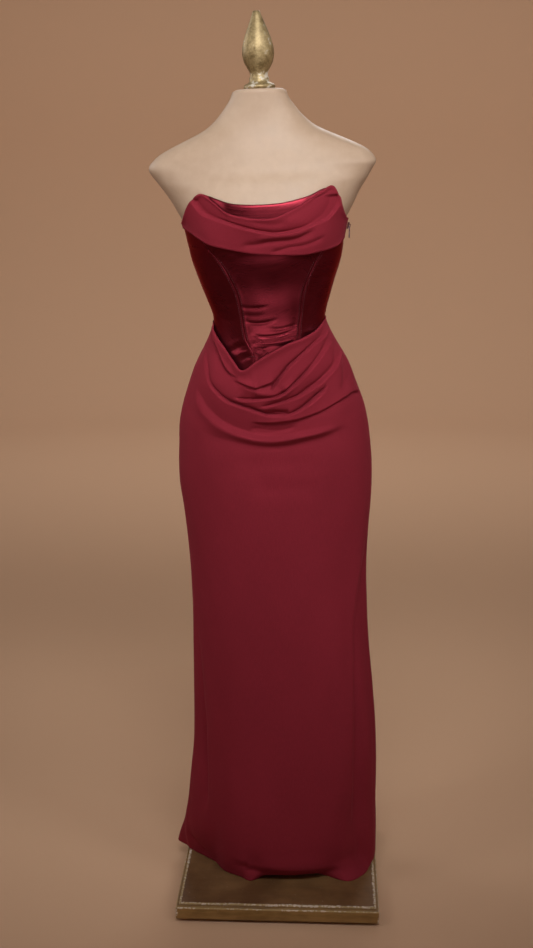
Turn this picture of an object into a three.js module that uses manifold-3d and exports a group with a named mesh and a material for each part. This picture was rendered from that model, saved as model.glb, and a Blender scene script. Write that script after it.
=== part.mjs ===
// A strapless evening gown on a limbless dress form that stands on a square wooden base.
// Millimetres, +Z up, front toward -Y. The origin is the middle of the base's underside.
// Angles go round the body in degrees: 0 is the front, 90 the wearer's left, 180 the back.
import * as THREE from 'three';
import Module from 'manifold-3d';

const wasm = await Module();
wasm.setup();

// stand and form
const baseSide = 380;
const baseTop = 36;
const baseStep = 4.5;
const plinthSide = 340;
const plinthHigh = 6;
const poleRadius = 16;
const flangeRadius = 45;
const formBottom = 760;
const neckTop = 1515;
const leanRadians = 0.0425;
const leanFrom = 880;
const leanOver = 220;
const finialHigh = 133;

// cloth
const gap = 0.3;
const crepe = 1.4;
const satinInside = 0.8;
const satinOutside = 2.1;
const formSink = 0.8;
const sideSeam = 84;
const seamTrim = 0.1;
const hemHeight = baseTop + gap;
const millimetresPerDegree = 2.2;
const bodiceTurn = 4;

// bust: two soft rises, side by side
const bustAngle = 33;
const bustSpread = 17;
const bustHeight = 1256;
const bustTall = 36;
const bustRise = 7;

// The gown's outer face from the hem up, and on to the form's neck.
// shift: centre sideways, back: centre toward the back, side: half width,
// front and behind: depth each way, power: 2 is an ellipse and more is squarer,
// easeSide, easeFront, easeBehind: how far the face stands off the body.
const faceColumns = ['z', 'shift', 'back', 'side', 'front', 'behind', 'power', 'easeSide', 'easeFront',
  'easeBehind'];
const faceRows = [
  [36, -12, 40, 201, 138, 100, 2.1, 12, 16, 14],
  [100, -4, 33, 193, 136, 104, 2.1, 12, 16, 14],
  [155, 2, 28, 185, 130, 106, 2.15, 12, 16, 14],
  [240, 6, 20, 181, 121, 109, 2.2, 12, 16, 14],
  [325, 7, 13, 177, 113, 113, 2.2, 12, 16, 14],
  [408, 4, 8, 173, 107, 116, 2.2, 12, 16, 14],
  [490, 0, 4, 169, 103, 118, 2.2, 12, 16, 14],
  [570, -3, 1, 166.5, 101, 119, 2.2, 12, 16, 14],
  [650, -6, 0, 167, 101, 120, 2.2, 11, 16, 14],
  [729, -8, 0, 172, 104, 122, 2.2, 10, 16, 14],
  [770, -9, 0, 176, 106, 125, 2.2, 9, 16, 13],
  [806, -11, 0, 179.5, 108, 128, 2.2, 8.5, 14, 10],
  [845, -12, 0, 180, 110, 130, 2.2, 8, 13, 7],
  [883, -13, 0, 178, 112, 130, 2.15, 8, 13, 6],
  [921, -15, 0, 175, 110, 128, 2.1, 8, 12, 5],
  [958, -16, 0, 167, 106, 124, 2.1, 7, 11, 5],
  [996, -18, 0, 154, 101, 117, 2.1, 6.5, 10, 5],
  [1033, -19, 0, 140, 95, 108, 2.1, 6, 9, 5],
  [1070, -21, 0, 120, 89, 98, 2.15, 5, 7, 4.6],
  [1090, -22, 0, 110, 86, 92, 2.2, 4.6, 5.6, 4.6],
  [1107, -23, 0, 104, 84, 88.5, 2.25, 4.4, 4.8, 4.4],
  [1125, -23, 0, 104.5, 84, 87, 2.25, 3.4, 3.6, 3.4],
  [1143, -24, 0, 109, 86, 87, 2.25, 2.4, 2.4, 2.4],
  [1179, -26, 0, 121, 93, 89, 2.3, 2.2, 2.2, 2.2],
  [1215, -27, 0, 133, 104, 93, 2.35, 2.2, 2.6, 2.2],
  [1233, -28, 0, 138.5, 110, 95, 2.35, 3.4, 5.2, 2.4],
  [1255, -29, 0, 143, 117, 98, 2.35, 4.4, 6.5, 2.8],
  [1276, -30, 0, 148, 119, 100, 2.35, 4.8, 6.5, 3],
  [1290, -30.5, 0, 152, 118, 102, 2.35, 4.8, 6.5, 3],
  [1311, -31, 0, 163, 112, 105, 2.35, 4.6, 7, 3],
  [1328, -32, 0, 172, 105, 107, 2.35, 4.6, 7, 3],
  [1341, -33, 0, 180, 99, 108, 2.35, 4.6, 7, 3],
  [1356, -34, 0, 190, 92, 110, 2.35, 4, 7, 3],
  [1365, -35, 0, 196, 86, 110, 2.35, 4, 7, 3],
  [1374, -36, 0, 202, 81, 109, 2.35, 4, 7, 3],
  [1383, -36, 0, 207.5, 77, 107, 2.35, 4, 7, 3],
  [1391, -37, 0, 206, 73, 105, 2.35, 4, 7, 3],
  [1400, -37, 0, 199, 69, 101, 2.3, 4, 7, 3],
  [1409, -37.5, 0, 188, 65, 97, 2.3, 4, 7, 3],
  [1420, -38, 0, 167, 61, 92, 2.25, 4, 7, 3],
  [1433, -38.5, 0, 138, 57, 87, 2.2, 4, 7, 3],
  [1448, -39, 0, 106, 53, 80, 2.15, 4, 7, 3],
  [1460, -39.5, 0, 90, 50.5, 76, 2.1, 4, 7, 3],
  [1473, -40, 0, 77, 48.5, 72, 2.1, 4, 7, 3],
  [1487, -40.5, 0, 66, 47.5, 69, 2.1, 4, 7, 3],
  [1500, -41, 0, 57, 47, 66, 2.1, 4, 7, 3],
  [1515, -41, 0, 51.5, 47, 65, 2.1, 4, 7, 3],
];

// Heights of cut edges and seams against the angle
const skirtTop = [[-90, 1112], [-78, 1109], [-61, 1097], [-46, 1082], [-36, 1069], [-26, 1050], [-18, 1032],
  [-8, 1048], [2, 1063], [14, 1076], [26, 1083], [46, 1094], [66, 1104], [90, 1112]];
const satinLow = [[-90, 1092], [-61, 1080], [-46, 1066], [-36, 1052], [-26, 1036], [-16, 1022], [-6, 1034],
  [2, 1047], [14, 1060], [26, 1068], [46, 1078], [66, 1086], [90, 1092], [270, 1092]];
const satinTop = [[-90, 1280], [-66, 1288], [-57, 1299], [-51, 1309], [-41, 1324], [-31, 1337], [-24, 1331],
  [-14, 1322], [0, 1319], [12, 1322], [25, 1331], [37, 1342], [46, 1326], [53, 1307], [64, 1291], [90, 1280],
  [135, 1266], [180, 1260], [225, 1266], [270, 1280]];
const drapeTop = [[-90, 1290], [-75, 1292], [-66, 1296], [-57, 1306], [-51, 1315], [-41, 1330], [-31, 1341],
  [-25, 1327], [-18, 1308], [-5, 1297], [2, 1295], [8, 1299], [20, 1317], [28, 1331], [37, 1346], [46, 1330],
  [53, 1312], [64, 1296], [75, 1289], [90, 1286]];
const drapeLow = [[-90, 1278], [-72, 1282], [-55, 1273], [-44, 1263], [-35, 1254], [-26, 1248], [-11, 1239],
  [0, 1234], [22, 1230], [38, 1234], [59, 1240], [69, 1246], [90, 1256]];
const cowlLevel = [[-90, 960], [-57, 925], [-41, 905], [-26, 893], [-9, 886], [3, 886], [16, 891], [32, 900],
  [49, 913], [90, 955]];
// half the width of the centre front panel in degrees, against the height
const princessSeam = [[1010, 13], [1060, 15], [1083, 22], [1117, 26], [1165, 26], [1205, 31], [1236, 39],
  [1262, 48], [1290, 48], [1345, 46]];
const backSeam = [[1010, 26], [1110, 26], [1200, 30], [1300, 30]];

// Creases of the hip drape. deep: how far in, above and below: width of each side,
// soft: 1 is sharp and 2 is round, fade: degrees over which each end dies away.
const hipCreases = [
  { deep: 9, above: 5, below: 15, soft: 1, fade: 8,
    line: [[-84, 1101], [-63, 1086], [-48, 1065], [-38, 1043], [-30, 1024], [-20, 1009], [-8, 998], [1, 1008],
      [9, 1020], [21, 1040], [38, 1063], [59, 1082], [84, 1095]] },
  { deep: 8, above: 5, below: 13, soft: 1, fade: 10,
    line: [[-12, 983], [-6, 980], [1, 983], [8, 990], [15, 1004], [25, 1020], [39, 1042], [56, 1060],
      [84, 1074]] },
  { deep: 7, above: 5, below: 13, soft: 1, fade: 10,
    line: [[-18, 971], [-6, 966], [7, 970], [18, 978], [25, 988], [33, 1001], [42, 1014], [51, 1027],
      [64, 1042], [84, 1056]] },
  { deep: 8, above: 5, below: 16, soft: 1, fade: 10,
    line: [[-82, 1074], [-70, 1060], [-53, 1021], [-40, 997], [-28, 978], [-14, 963], [-3, 955], [10, 955],
      [18, 961], [24, 968], [33, 980], [45, 998]] },
  { deep: 6, above: 6, below: 13, soft: 1, fade: 9,
    line: [[2, 935], [12, 937], [23, 943], [31, 956], [41, 965], [52, 973], [65, 980], [84, 984]] },
  { deep: 6, above: 13, below: 18, soft: 2, fade: 14,
    line: [[-60, 922], [-45, 912], [-26, 900], [-9, 893], [3, 893], [16, 899], [32, 908], [49, 918],
      [64, 932]] },
  { deep: 2.5, above: 12, below: 16, soft: 2, fade: 12, line: [[-34, 872], [-18, 866], [2, 864], [27, 868], [44, 876]] },
  { deep: 1.5, above: 12, below: 14, soft: 2, fade: 10, line: [[-20, 826], [-7, 823], [10, 820], [30, 824]] },
];
const hipRidges = [
  { deep: -5, above: 12, below: 12, soft: 2, fade: 14,
    line: [[-66, 992], [-57, 983], [-49, 962], [-41, 949], [-26, 929], [-14, 917], [-1, 911], [14, 915],
      [30, 926], [50, 940]] },
  { deep: -3, above: 6, below: 9, soft: 2, fade: 10, line: [[-60, 1092], [-48, 1075], [-38, 1056], [-28, 1034],
    [-18, 1019], [-8, 1022]] },
];

// Creases of the neck drape
const neckCreases = [
  { deep: 6, above: 4, below: 11, soft: 1, fade: 4,
    line: [[-44, 1330], [-41, 1324], [-38, 1311], [-32, 1301], [-20, 1289], [-9, 1281], [1, 1272], [8, 1268],
      [22, 1275], [34, 1285], [43, 1294], [48, 1308], [51, 1318]] },
  { deep: 4, above: 4, below: 8, soft: 1, fade: 6,
    line: [[-34, 1336], [-31, 1333], [-25, 1326], [-21, 1317], [-18, 1307], [-8, 1300]] },
  { deep: 2, above: 5, below: 7, soft: 2, fade: 8, line: [[-24, 1258], [-16, 1256], [1, 1255], [15, 1258], [36, 1271]] },
  { deep: 1.2, above: 4, below: 6, soft: 2, fade: 6, line: [[0, 1238], [5, 1238], [16, 1243], [36, 1251]] },
];

// How far the skirt stands out or in near the floor, at four heights, against the angle
const hemColumns = ['angle', 'at36', 'at60', 'at100', 'at300'];
const hemRows = [
  [-84, -26, -16, -5, 0],
  [-77, -34, -24, -11, -3],
  [-62, -44, -34, -18, -7],
  [-45, -41, -32, -18, -4],
  [-30, -19, -14, -6, 2],
  [-18, -8, -3, -1, 2],
  [-11, 3, 2, 2, 2],
  [-4, -24, -4, 4, 2],
  [8, -30, -6, 4, 2],
  [22, -27, -5, 5, 3],
  [31, -10, 0, 6, 4],
  [38, 26, 16, 9, 6],
  [49, 24, 8, -4, -4],
  [56, 18, -2, -12, -10],
  [66, 8, 8, 6, 3],
  [84, 1, 1, 1, 0],
];
const hemHeights = [36, 60, 100, 300, 640];
const hollow = { deep: 7, angle: 62, spread: 6, from: 680, full: 480, end: 250 };
const backFlutes = { count: 5, deep: 7, from: 620 };

// Outline levels that both skirt panels share
const skirtLevels = [hemHeight, 50, 70, 98, 145, 215, 310, 420, 530, 640, 735, 815];

// the zip's slider and tab
const zipAngle = 79;
const zipHeight = 1275;
const zipClear = 0.7;
const sliderWide = 8;
const sliderTall = 12;
const sliderThick = 2.2;
const bridgeWide = 2.4;
const hingeOut = 3.5;
const hingeDown = 0.9;
const tabWide = 7;
const tabLong = 21;
const tabThick = 1.2;

const radians = (degrees) => degrees * Math.PI / 180;
const mix = (a, b, t) => a + (b - a) * t;
const clamp = (value, low, high) => Math.min(high, Math.max(low, value));
const smooth = (t) => { const c = clamp(t, 0, 1); return c * c * (3 - 2 * c); };

// Smooth value through [position, value] pairs
function along(pairs, position, column = 1) {
  const last = pairs.length - 1;
  if (position <= pairs[0][0]) return pairs[0][column];
  if (position >= pairs[last][0]) return pairs[last][column];
  let i = 0;
  while (position > pairs[i + 1][0]) i += 1;
  const slope = (k) => {
    const a = Math.max(0, k - 1), b = Math.min(last, k + 1);
    return (pairs[b][column] - pairs[a][column]) / (pairs[b][0] - pairs[a][0]);
  };
  const span = pairs[i + 1][0] - pairs[i][0];
  const t = (position - pairs[i][0]) / span;
  const a = pairs[i][column], b = pairs[i + 1][column];
  return a * (1 + 2 * t) * (1 - t) ** 2 + b * t * t * (3 - 2 * t)
    + span * slope(i) * t * (1 - t) ** 2 - span * slope(i + 1) * t * t * (1 - t);
}

const faceAt = (z) => Object.fromEntries(faceColumns.map((name, i) => [name, along(faceRows, z, i)]));

function bust(angle, z) {
  const lobe = (centre) => Math.exp(-(((angle - centre) / bustSpread) ** 2) - ((z - bustHeight) / bustTall) ** 2);
  return bustRise * (lobe(-bustAngle) + lobe(bustAngle));
}

// How far the gown's face stands off the body at this place
function easeAt(angle, z) {
  const row = faceAt(z);
  const c = Math.cos(radians(angle));
  return mix(row.easeSide, c > 0 ? row.easeFront : row.easeBehind, c * c);
}

// A point on the section at this height; eased is 1 on the body and 0 on the gown's face
function sectionPoint(angle, z, out, eased) {
  const row = faceAt(z);
  const s = Math.sin(radians(angle)), c = Math.cos(radians(angle));
  const more = out + bust(angle, z);
  const side = row.side - eased * row.easeSide + more;
  const depth = (c > 0 ? row.front - eased * row.easeFront : row.behind - eased * row.easeBehind) + more;
  const x = side * Math.sign(s) * Math.abs(s) ** (2 / row.power);
  const y = row.back - depth * Math.sign(c) * Math.abs(c) ** (2 / row.power);
  const lean = leanRadians * clamp((z - leanFrom) / leanOver, 0, 1);
  return new THREE.Vector3(row.shift + x * Math.cos(lean), y, z + x * Math.sin(lean));
}
const facePoint = (angle, z, out) => sectionPoint(angle, z, out, 0);
const bodyPoint = (angle, z, out) => sectionPoint(angle, z, out, 1);

function creaseDepth(crease, angle, z) {
  const { line } = crease;
  const first = line[0][0], last = line[line.length - 1][0];
  const fade = smooth((angle - first) / crease.fade + 0.15) * smooth((last - angle) / crease.fade + 0.15);
  if (fade <= 0) return 0;
  const slope = (along(line, angle + 1) - along(line, angle - 1)) / 2 / millimetresPerDegree;
  const away = (z - along(line, angle)) / Math.hypot(1, slope);
  const width = away > 0 ? crease.above : crease.below;
  return crease.deep * fade * Math.exp(-(Math.abs(away / width) ** crease.soft));
}

// How far the skirt's face moves near the hem
function hemMove(angle, z) {
  if (z >= 640) return 0;
  const moves = hemHeights.map((height, k) => [height, k < 4 ? along(hemRows, angle, k + 1) : 0]);
  return along(moves, z);
}

function frontMove(angle, z) {
  let move = 3 * smooth((z - 840) / 60) * Math.cos(radians(angle)) ** 2;
  for (const crease of [...hipCreases, ...hipRidges]) move -= creaseDepth(crease, angle, z);
  const drop = along(skirtTop, angle) - z;
  move += 3 * Math.exp(-((drop / 9) ** 2)) * Math.cos(radians(angle)) ** 2;
  const low = smooth((hollow.from - z) / (hollow.from - hollow.full)) * smooth((z - 60) / hollow.end);
  move -= hollow.deep * low * Math.exp(-(((angle - hollow.angle) / hollow.spread) ** 2));
  const least = (z > 1005 ? satinOutside + gap + crepe + 0.5 : crepe + 1.2) - easeAt(angle, z);
  return Math.max(move, least) * smooth((sideSeam - Math.abs(angle)) / 9 + 0.02) + hemMove(angle, z);
}

function backMove(angle, z) {
  const t = (angle - sideSeam) / (360 - 2 * sideSeam);
  const wave = Math.sin(Math.PI * t) * Math.cos(2 * Math.PI * backFlutes.count * t);
  // the hem's two back corners, and how fast the side seams' own moves die away
  const corners = 4 * Math.exp(-(((angle - 259) / 9) ** 2)) * smooth((120 - z) / 80)
    + 14 * Math.exp(-(((angle - 113) / 10) ** 2)) * smooth((150 - z) / 110);
  const edge = hemMove(sideSeam, z) * (1 - t) + hemMove(-sideSeam, z) * smooth((angle - 254) / (360 - sideSeam - 254));
  return edge + corners * smooth((360 - sideSeam - angle) / 8) + backFlutes.deep * wave * smooth((backFlutes.from - z) / 500);
}

function neckMove(angle, z) {
  const top = along(drapeTop, angle);
  const open = Math.exp(-(((angle - 3) / 24) ** 2));
  let move = 1 + 5 * open * smooth((z - 1255) / 35) + 2 * Math.exp(-(((top - z) / 6) ** 2));
  for (const crease of neckCreases) move -= creaseDepth(crease, angle, z);
  const least = satinOutside + gap + crepe + 0.5 - easeAt(angle, z);
  return Math.max(move, least);
}

// A closed wall from a grid; place(s, t, outside) gives each point
function wall(across, up, place) {
  const points = [], faces = [];
  for (const outside of [0, 1]) {
    for (let j = 0; j <= up; j += 1) {
      for (let i = 0; i <= across; i += 1) points.push(place(i / across, j / up, outside));
    }
  }
  const at = (i, j, outside) => (outside * (up + 1) + j) * (across + 1) + i;
  const quad = (a, b, c, d) => faces.push(a, b, c, a, c, d);
  for (let j = 0; j < up; j += 1) {
    for (let i = 0; i < across; i += 1) {
      quad(at(i, j, 1), at(i + 1, j, 1), at(i + 1, j + 1, 1), at(i, j + 1, 1));
      quad(at(i, j, 0), at(i, j + 1, 0), at(i + 1, j + 1, 0), at(i + 1, j, 0));
    }
  }
  for (let i = 0; i < across; i += 1) {
    quad(at(i + 1, 0, 1), at(i, 0, 1), at(i, 0, 0), at(i + 1, 0, 0));
    quad(at(i, up, 1), at(i + 1, up, 1), at(i + 1, up, 0), at(i, up, 0));
  }
  for (let j = 0; j < up; j += 1) {
    quad(at(0, j, 1), at(0, j + 1, 1), at(0, j + 1, 0), at(0, j, 0));
    quad(at(across, j + 1, 1), at(across, j, 1), at(across, j, 0), at(across, j + 1, 0));
  }
  return geometryOf(points, faces);
}

// A closed solid through rings that all run the same way, with a flat cap at each end
function loft(rings) {
  const count = rings[0].length, points = rings.flat(), faces = [];
  for (let j = 0; j + 1 < rings.length; j += 1) {
    for (let i = 0; i < count; i += 1) {
      const a = j * count + i, b = j * count + (i + 1) % count;
      faces.push(a, b, b + count, a, b + count, a + count);
    }
  }
  for (const [ring, start, up] of [[rings[0], 0, false], [rings[rings.length - 1], (rings.length - 1) * count, true]]) {
    const centre = ring.reduce((sum, p) => sum.add(p), new THREE.Vector3()).divideScalar(count);
    points.push(centre);
    for (let i = 0; i < count; i += 1) {
      const a = start + i, b = start + (i + 1) % count;
      if (up) faces.push(points.length - 1, a, b);
      else faces.push(points.length - 1, b, a);
    }
  }
  return geometryOf(points, faces);
}

function geometryOf(points, faces) {
  const geometry = new THREE.BufferGeometry();
  geometry.setAttribute('position', new THREE.Float32BufferAttribute(points.flatMap((p) => [p.x, p.y, p.z]), 3));
  geometry.setIndex(faces);
  geometry.computeVertexNormals();
  return geometry;
}

// Turned solid round the Z axis from [radius, height] pairs
function turned(profile, segments, start = 0) {
  const geometry = new THREE.LatheGeometry(profile.map(([r, z]) => new THREE.Vector2(r, z)), segments, start);
  return geometry.rotateX(Math.PI / 2);
}

const gown = new THREE.Group();
function add(name, geometry, color, roughness, metalness = 0, parent = gown) {
  const mesh = new THREE.Mesh(geometry, new THREE.MeshStandardMaterial({ color, roughness, metalness }));
  mesh.name = name;
  parent.add(mesh);
  return mesh;
}

// base, plinth, pole
const squareReach = (side) => side / 2 * Math.SQRT2;
add('base_plinth', turned([[0, 0], [squareReach(plinthSide), 0], [squareReach(plinthSide), plinthHigh],
  [0, plinthHigh]], 4, Math.PI / 4), 0x24180f, 0.8);
const stepSide = baseSide - 2 * baseStep;
add('base_board', turned([[0, plinthHigh + gap], [squareReach(baseSide - 3), plinthHigh + gap],
  [squareReach(baseSide), plinthHigh + 2], [squareReach(baseSide), 29.5], [squareReach(baseSide - 3), 31],
  [squareReach(stepSide), 31], [squareReach(stepSide), baseTop - 1.2], [squareReach(stepSide - 2.4), baseTop],
  [0, baseTop]], 4, Math.PI / 4), 0x53371f, 0.7);
add('stand_pole', turned([[0, baseTop + gap], [flangeRadius, baseTop + gap], [flangeRadius, baseTop + 6],
  [poleRadius + 3, baseTop + 12], [poleRadius, baseTop + 18], [poleRadius, formBottom - gap],
  [0, formBottom - gap]], 20), 0x3b3330, 0.45, 0.8);

// dress form
const formLevels = [[formBottom, -14], [763, -5], [771, 0], [808, 0], [850, 0], [895, 0], [940, 0], [985, 0],
  [1030, 0], [1068, 0], [1090, 0], [1107, 0], [1125, 0], [1150, 0], [1190, 0], [1222, 0], [1242, 0], [1260, 0],
  [1280, 0], [1303, 0], [1328, 0], [1350, 0], [1368, 0], [1380, 0], [1390, 0], [1400, 0], [1412, 0], [1428, 0],
  [1446, 0], [1468, 0], [neckTop - 20, 0], [neckTop - 3, -0.6], [neckTop, -4]];
const formAround = 36;
add('form_torso', loft(formLevels.map(([z, out]) => Array.from({ length: formAround },
  (_, i) => bodyPoint(i * 360 / formAround - 180, z, out - formSink)))), 0xc4a58d, 0.5);

// finial on its collar, tilted with the neck
const neck = new THREE.Group();
const neckRow = faceAt(neckTop);
neck.position.set(neckRow.shift, (neckRow.behind - neckRow.easeBehind - neckRow.front + neckRow.easeFront) / 2,
  neckTop + gap);
neck.rotation.y = -leanRadians;
gown.add(neck);
add('neck_finial', turned([[0, 0], [26, 0], [28, 1.5], [28.3, 5], [26, 8.5], [20, 11], [17.6, 14], [17.5, 19],
  [15.6, 23], [16.2, 29], [20, 36], [25.6, 46], [28.4, 59], [27.6, 72], [24, 86], [18, 102], [12.2, 116],
  [8.6, 125], [7, 130], [5, 132.6], [0, finialHigh]], 20), 0xb09a6a, 0.45, 0.7, neck);

// satin bodice: panels between seams that run from the lower edge to the top
function bodicePanel(name, left, right, across, up) {
  const angleOf = (seam, z, trim) => (typeof seam === 'number' ? seam : seam(z)) + trim;
  const lowZ = (s) => along(satinLow, mix(angleOf(left, 1060, 0), angleOf(right, 1060, 0), s));
  const topZ = (s) => along(satinTop, mix(angleOf(left, 1300, 0), angleOf(right, 1300, 0), s));
  add(name, wall(across, up, (s, t, outside) => {
    const z = mix(lowZ(s), topZ(s), t);
    const angle = mix(angleOf(left, z, seamTrim), angleOf(right, z, -seamTrim), s);
    return bodyPoint(angle, z, outside ? satinOutside : satinInside);
  }), 0x6e1c28, 0.32);
}
const rightPrincess = (z) => bodiceTurn - along(princessSeam, z);
const leftPrincess = (z) => bodiceTurn + along(princessSeam, z);
const leftBack = (z) => 180 - along(backSeam, z);
const rightBack = (z) => 180 + along(backSeam, z);
bodicePanel('bodice_centre_front', rightPrincess, leftPrincess, 14, 14);
bodicePanel('bodice_side_front_right', -sideSeam, rightPrincess, 7, 14);
bodicePanel('bodice_side_front_left', leftPrincess, sideSeam, 7, 14);
bodicePanel('bodice_side_back_left', sideSeam, leftBack, 8, 10);
bodicePanel('bodice_centre_back', leftBack, rightBack, 8, 10);
bodicePanel('bodice_side_back_right', rightBack, 360 - sideSeam, 8, 10);

// neck drape across the bust
const seamAngle = sideSeam - seamTrim;
add('neck_drape', wall(36, 11, (s, t, outside) => {
  const angle = mix(-seamAngle, seamAngle, s);
  const z = mix(along(drapeLow, angle), along(drapeTop, angle), t);
  return facePoint(angle, z, neckMove(angle, z) - (outside ? 0 : crepe));
}), 0x6a1f2b, 0.75);

// skirt panels
const cowlRows = 20;
add('skirt_front', wall(42, skirtLevels.length - 1 + 1 + cowlRows, (s, t, outside) => {
  const angle = mix(-seamAngle, seamAngle, s);
  const row = Math.round(t * (skirtLevels.length + cowlRows));
  const level = along(cowlLevel, angle);
  const z = row < skirtLevels.length ? skirtLevels[row]
    : mix(level, along(skirtTop, angle), (row - skirtLevels.length) / cowlRows);
  return facePoint(angle, z, frontMove(angle, z) - (outside ? 0 : crepe));
}), 0x64202c, 0.75);
const backRows = 6;
add('skirt_back', wall(26, skirtLevels.length + backRows, (s, t, outside) => {
  const angle = mix(sideSeam + seamTrim, 360 - sideSeam - seamTrim, s);
  const row = Math.round(t * (skirtLevels.length + backRows));
  const level = mix(along(cowlLevel, sideSeam), along(cowlLevel, -sideSeam), s);
  const z = row < skirtLevels.length ? skirtLevels[row]
    : mix(level, 1112, (row - skirtLevels.length) / backRows);
  return facePoint(angle, z, backMove(angle, z) - (outside ? 0 : crepe));
}), 0x5e1d29, 0.75);

// zip slider and pull tab; X is away from the body
function rounded(wide, tall, radius) {
  const shape = new THREE.Shape();
  const w = wide / 2, h = tall / 2;
  shape.moveTo(-w + radius, -h).lineTo(w - radius, -h).quadraticCurveTo(w, -h, w, -h + radius);
  shape.lineTo(w, h - radius).quadraticCurveTo(w, h, w - radius, h).lineTo(-w + radius, h);
  shape.quadraticCurveTo(-w, h, -w, h - radius).lineTo(-w, -h + radius).quadraticCurveTo(-w, -h, -w + radius, -h);
  return shape;
}
// a shape drawn in Y and Z, made thick along X from the given start
function plateAlongX(shape, start, thick) {
  const geometry = new THREE.ExtrudeGeometry(shape, { depth: thick, bevelEnabled: false, curveSegments: 3 });
  const turn = new THREE.Matrix4().makeBasis(new THREE.Vector3(0, 1, 0), new THREE.Vector3(0, 0, 1),
    new THREE.Vector3(1, 0, 0));
  return geometry.applyMatrix4(turn).translate(start, 0, 0);
}
// a shape drawn in X and Z, made thick along Y about its middle
function plateAlongY(shape, thick) {
  const geometry = new THREE.ExtrudeGeometry(shape, { depth: thick, bevelEnabled: false, curveSegments: 3 });
  return geometry.rotateX(Math.PI / 2).translate(0, thick / 2, 0);
}
function solidOf(geometry) {
  const position = (geometry.index ? geometry.toNonIndexed() : geometry).getAttribute('position');
  const seen = new Map(), points = [], faces = [];
  for (let i = 0; i < position.count; i += 1) {
    const p = [position.getX(i), position.getY(i), position.getZ(i)];
    const key = p.map((v) => v.toFixed(4)).join(' ');
    if (!seen.has(key)) { seen.set(key, seen.size); points.push(...p); }
    faces.push(seen.get(key));
  }
  return new wasm.Manifold(new wasm.Mesh({ numProp: 3, vertProperties: new Float32Array(points),
    triVerts: new Uint32Array(faces) }));
}
function geometryFrom(solid) {
  const mesh = solid.getMesh();
  const geometry = new THREE.BufferGeometry();
  geometry.setAttribute('position', new THREE.Float32BufferAttribute(mesh.vertProperties, 3));
  geometry.setIndex([...mesh.triVerts]);
  geometry.computeVertexNormals();
  return geometry;
}

const zip = new THREE.Group();
const drapeFace = (angle, z) => facePoint(angle, z, neckMove(angle, z));
const alongFace = drapeFace(zipAngle + 2, zipHeight).sub(drapeFace(zipAngle - 2, zipHeight));
const zipTurn = Math.atan2(-alongFace.x, alongFace.y);
zip.position.copy(drapeFace(zipAngle, zipHeight));
const upFace = drapeFace(zipAngle, zipHeight + 4).sub(drapeFace(zipAngle, zipHeight - 4));
const zipTilt = Math.atan2(upFace.x * Math.cos(zipTurn) + upFace.y * Math.sin(zipTurn), upFace.z);
zip.rotation.set(0, zipTilt, zipTurn, 'ZYX');
zip.translateX(zipClear);
gown.add(zip);
const bridgeShape = rounded(3.6, 6, 0.9);
const bridgeHole = new THREE.Path();
bridgeHole.moveTo(-1.0, -2).lineTo(-1.0, 2).lineTo(1.0, 2).lineTo(1.0, -2).closePath();
bridgeShape.holes.push(bridgeHole);
const bridge = plateAlongY(bridgeShape, bridgeWide).translate(hingeOut, 0, 0);
const plate = plateAlongX(rounded(sliderWide, sliderTall, 2), 0, sliderThick);
add('zip_slider', geometryFrom(solidOf(plate).add(solidOf(bridge))), 0x4a1119, 0.4, 0.3, zip);
const tabShape = rounded(tabWide, tabLong, 2.4);
const tabWindow = new THREE.Path();
const windowTop = tabLong / 2 - 1.4;
tabWindow.moveTo(-2, windowTop).lineTo(2, windowTop).lineTo(2, windowTop - 4).lineTo(-2, windowTop - 4).closePath();
tabShape.holes.push(tabWindow);
const tab = add('zip_pull_tab', plateAlongX(tabShape, -tabThick / 2, tabThick).translate(0, 0, 0.7 - tabLong / 2),
  0x7d6a72, 0.35, 0.8, zip);
tab.position.set(hingeOut, 0, -hingeDown);
tab.rotation.y = -zipTilt;

export default gown;
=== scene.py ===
import bpy, bmesh, math
import numpy as np
from mathutils import Matrix, Vector


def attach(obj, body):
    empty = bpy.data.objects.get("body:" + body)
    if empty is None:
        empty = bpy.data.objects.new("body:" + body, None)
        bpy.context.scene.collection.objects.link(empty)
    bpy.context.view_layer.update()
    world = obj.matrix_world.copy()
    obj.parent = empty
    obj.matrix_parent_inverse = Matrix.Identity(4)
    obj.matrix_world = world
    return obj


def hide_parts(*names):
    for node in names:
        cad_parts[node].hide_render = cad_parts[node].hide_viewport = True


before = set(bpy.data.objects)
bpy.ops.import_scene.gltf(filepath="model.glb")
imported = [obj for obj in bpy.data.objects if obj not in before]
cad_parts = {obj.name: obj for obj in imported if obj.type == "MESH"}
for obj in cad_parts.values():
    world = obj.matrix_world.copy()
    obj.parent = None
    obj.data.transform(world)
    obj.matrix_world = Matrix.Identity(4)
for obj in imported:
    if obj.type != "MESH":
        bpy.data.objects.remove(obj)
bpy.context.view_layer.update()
mm = 0.001
print("frame loaded:", sorted(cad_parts))

# The camera: place in metres, lens and sensor in millimetres, tilt and turn in degrees, the
# picture's height and middle in pixels, and the millimetres that one pixel covers at the gown.
view = {"place": (0.0836, -2.4657, 1.380), "lens": 51.27, "sensor": 36, "tilt": 77.23, "turn": 2.6,
        "high": 948, "middle": (266.5, 474), "perPixel": 1.78}


def addCamera():
    data = bpy.data.cameras.new("viewCamera")
    data.lens = view["lens"]
    data.sensor_width = view["sensor"]
    camera = bpy.data.objects.new("viewCamera", data)
    camera.location = view["place"]
    camera.rotation_euler = (math.radians(view["tilt"]), 0, math.radians(view["turn"]))
    bpy.context.collection.objects.link(camera)
    bpy.context.scene.camera = camera


addCamera()

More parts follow.
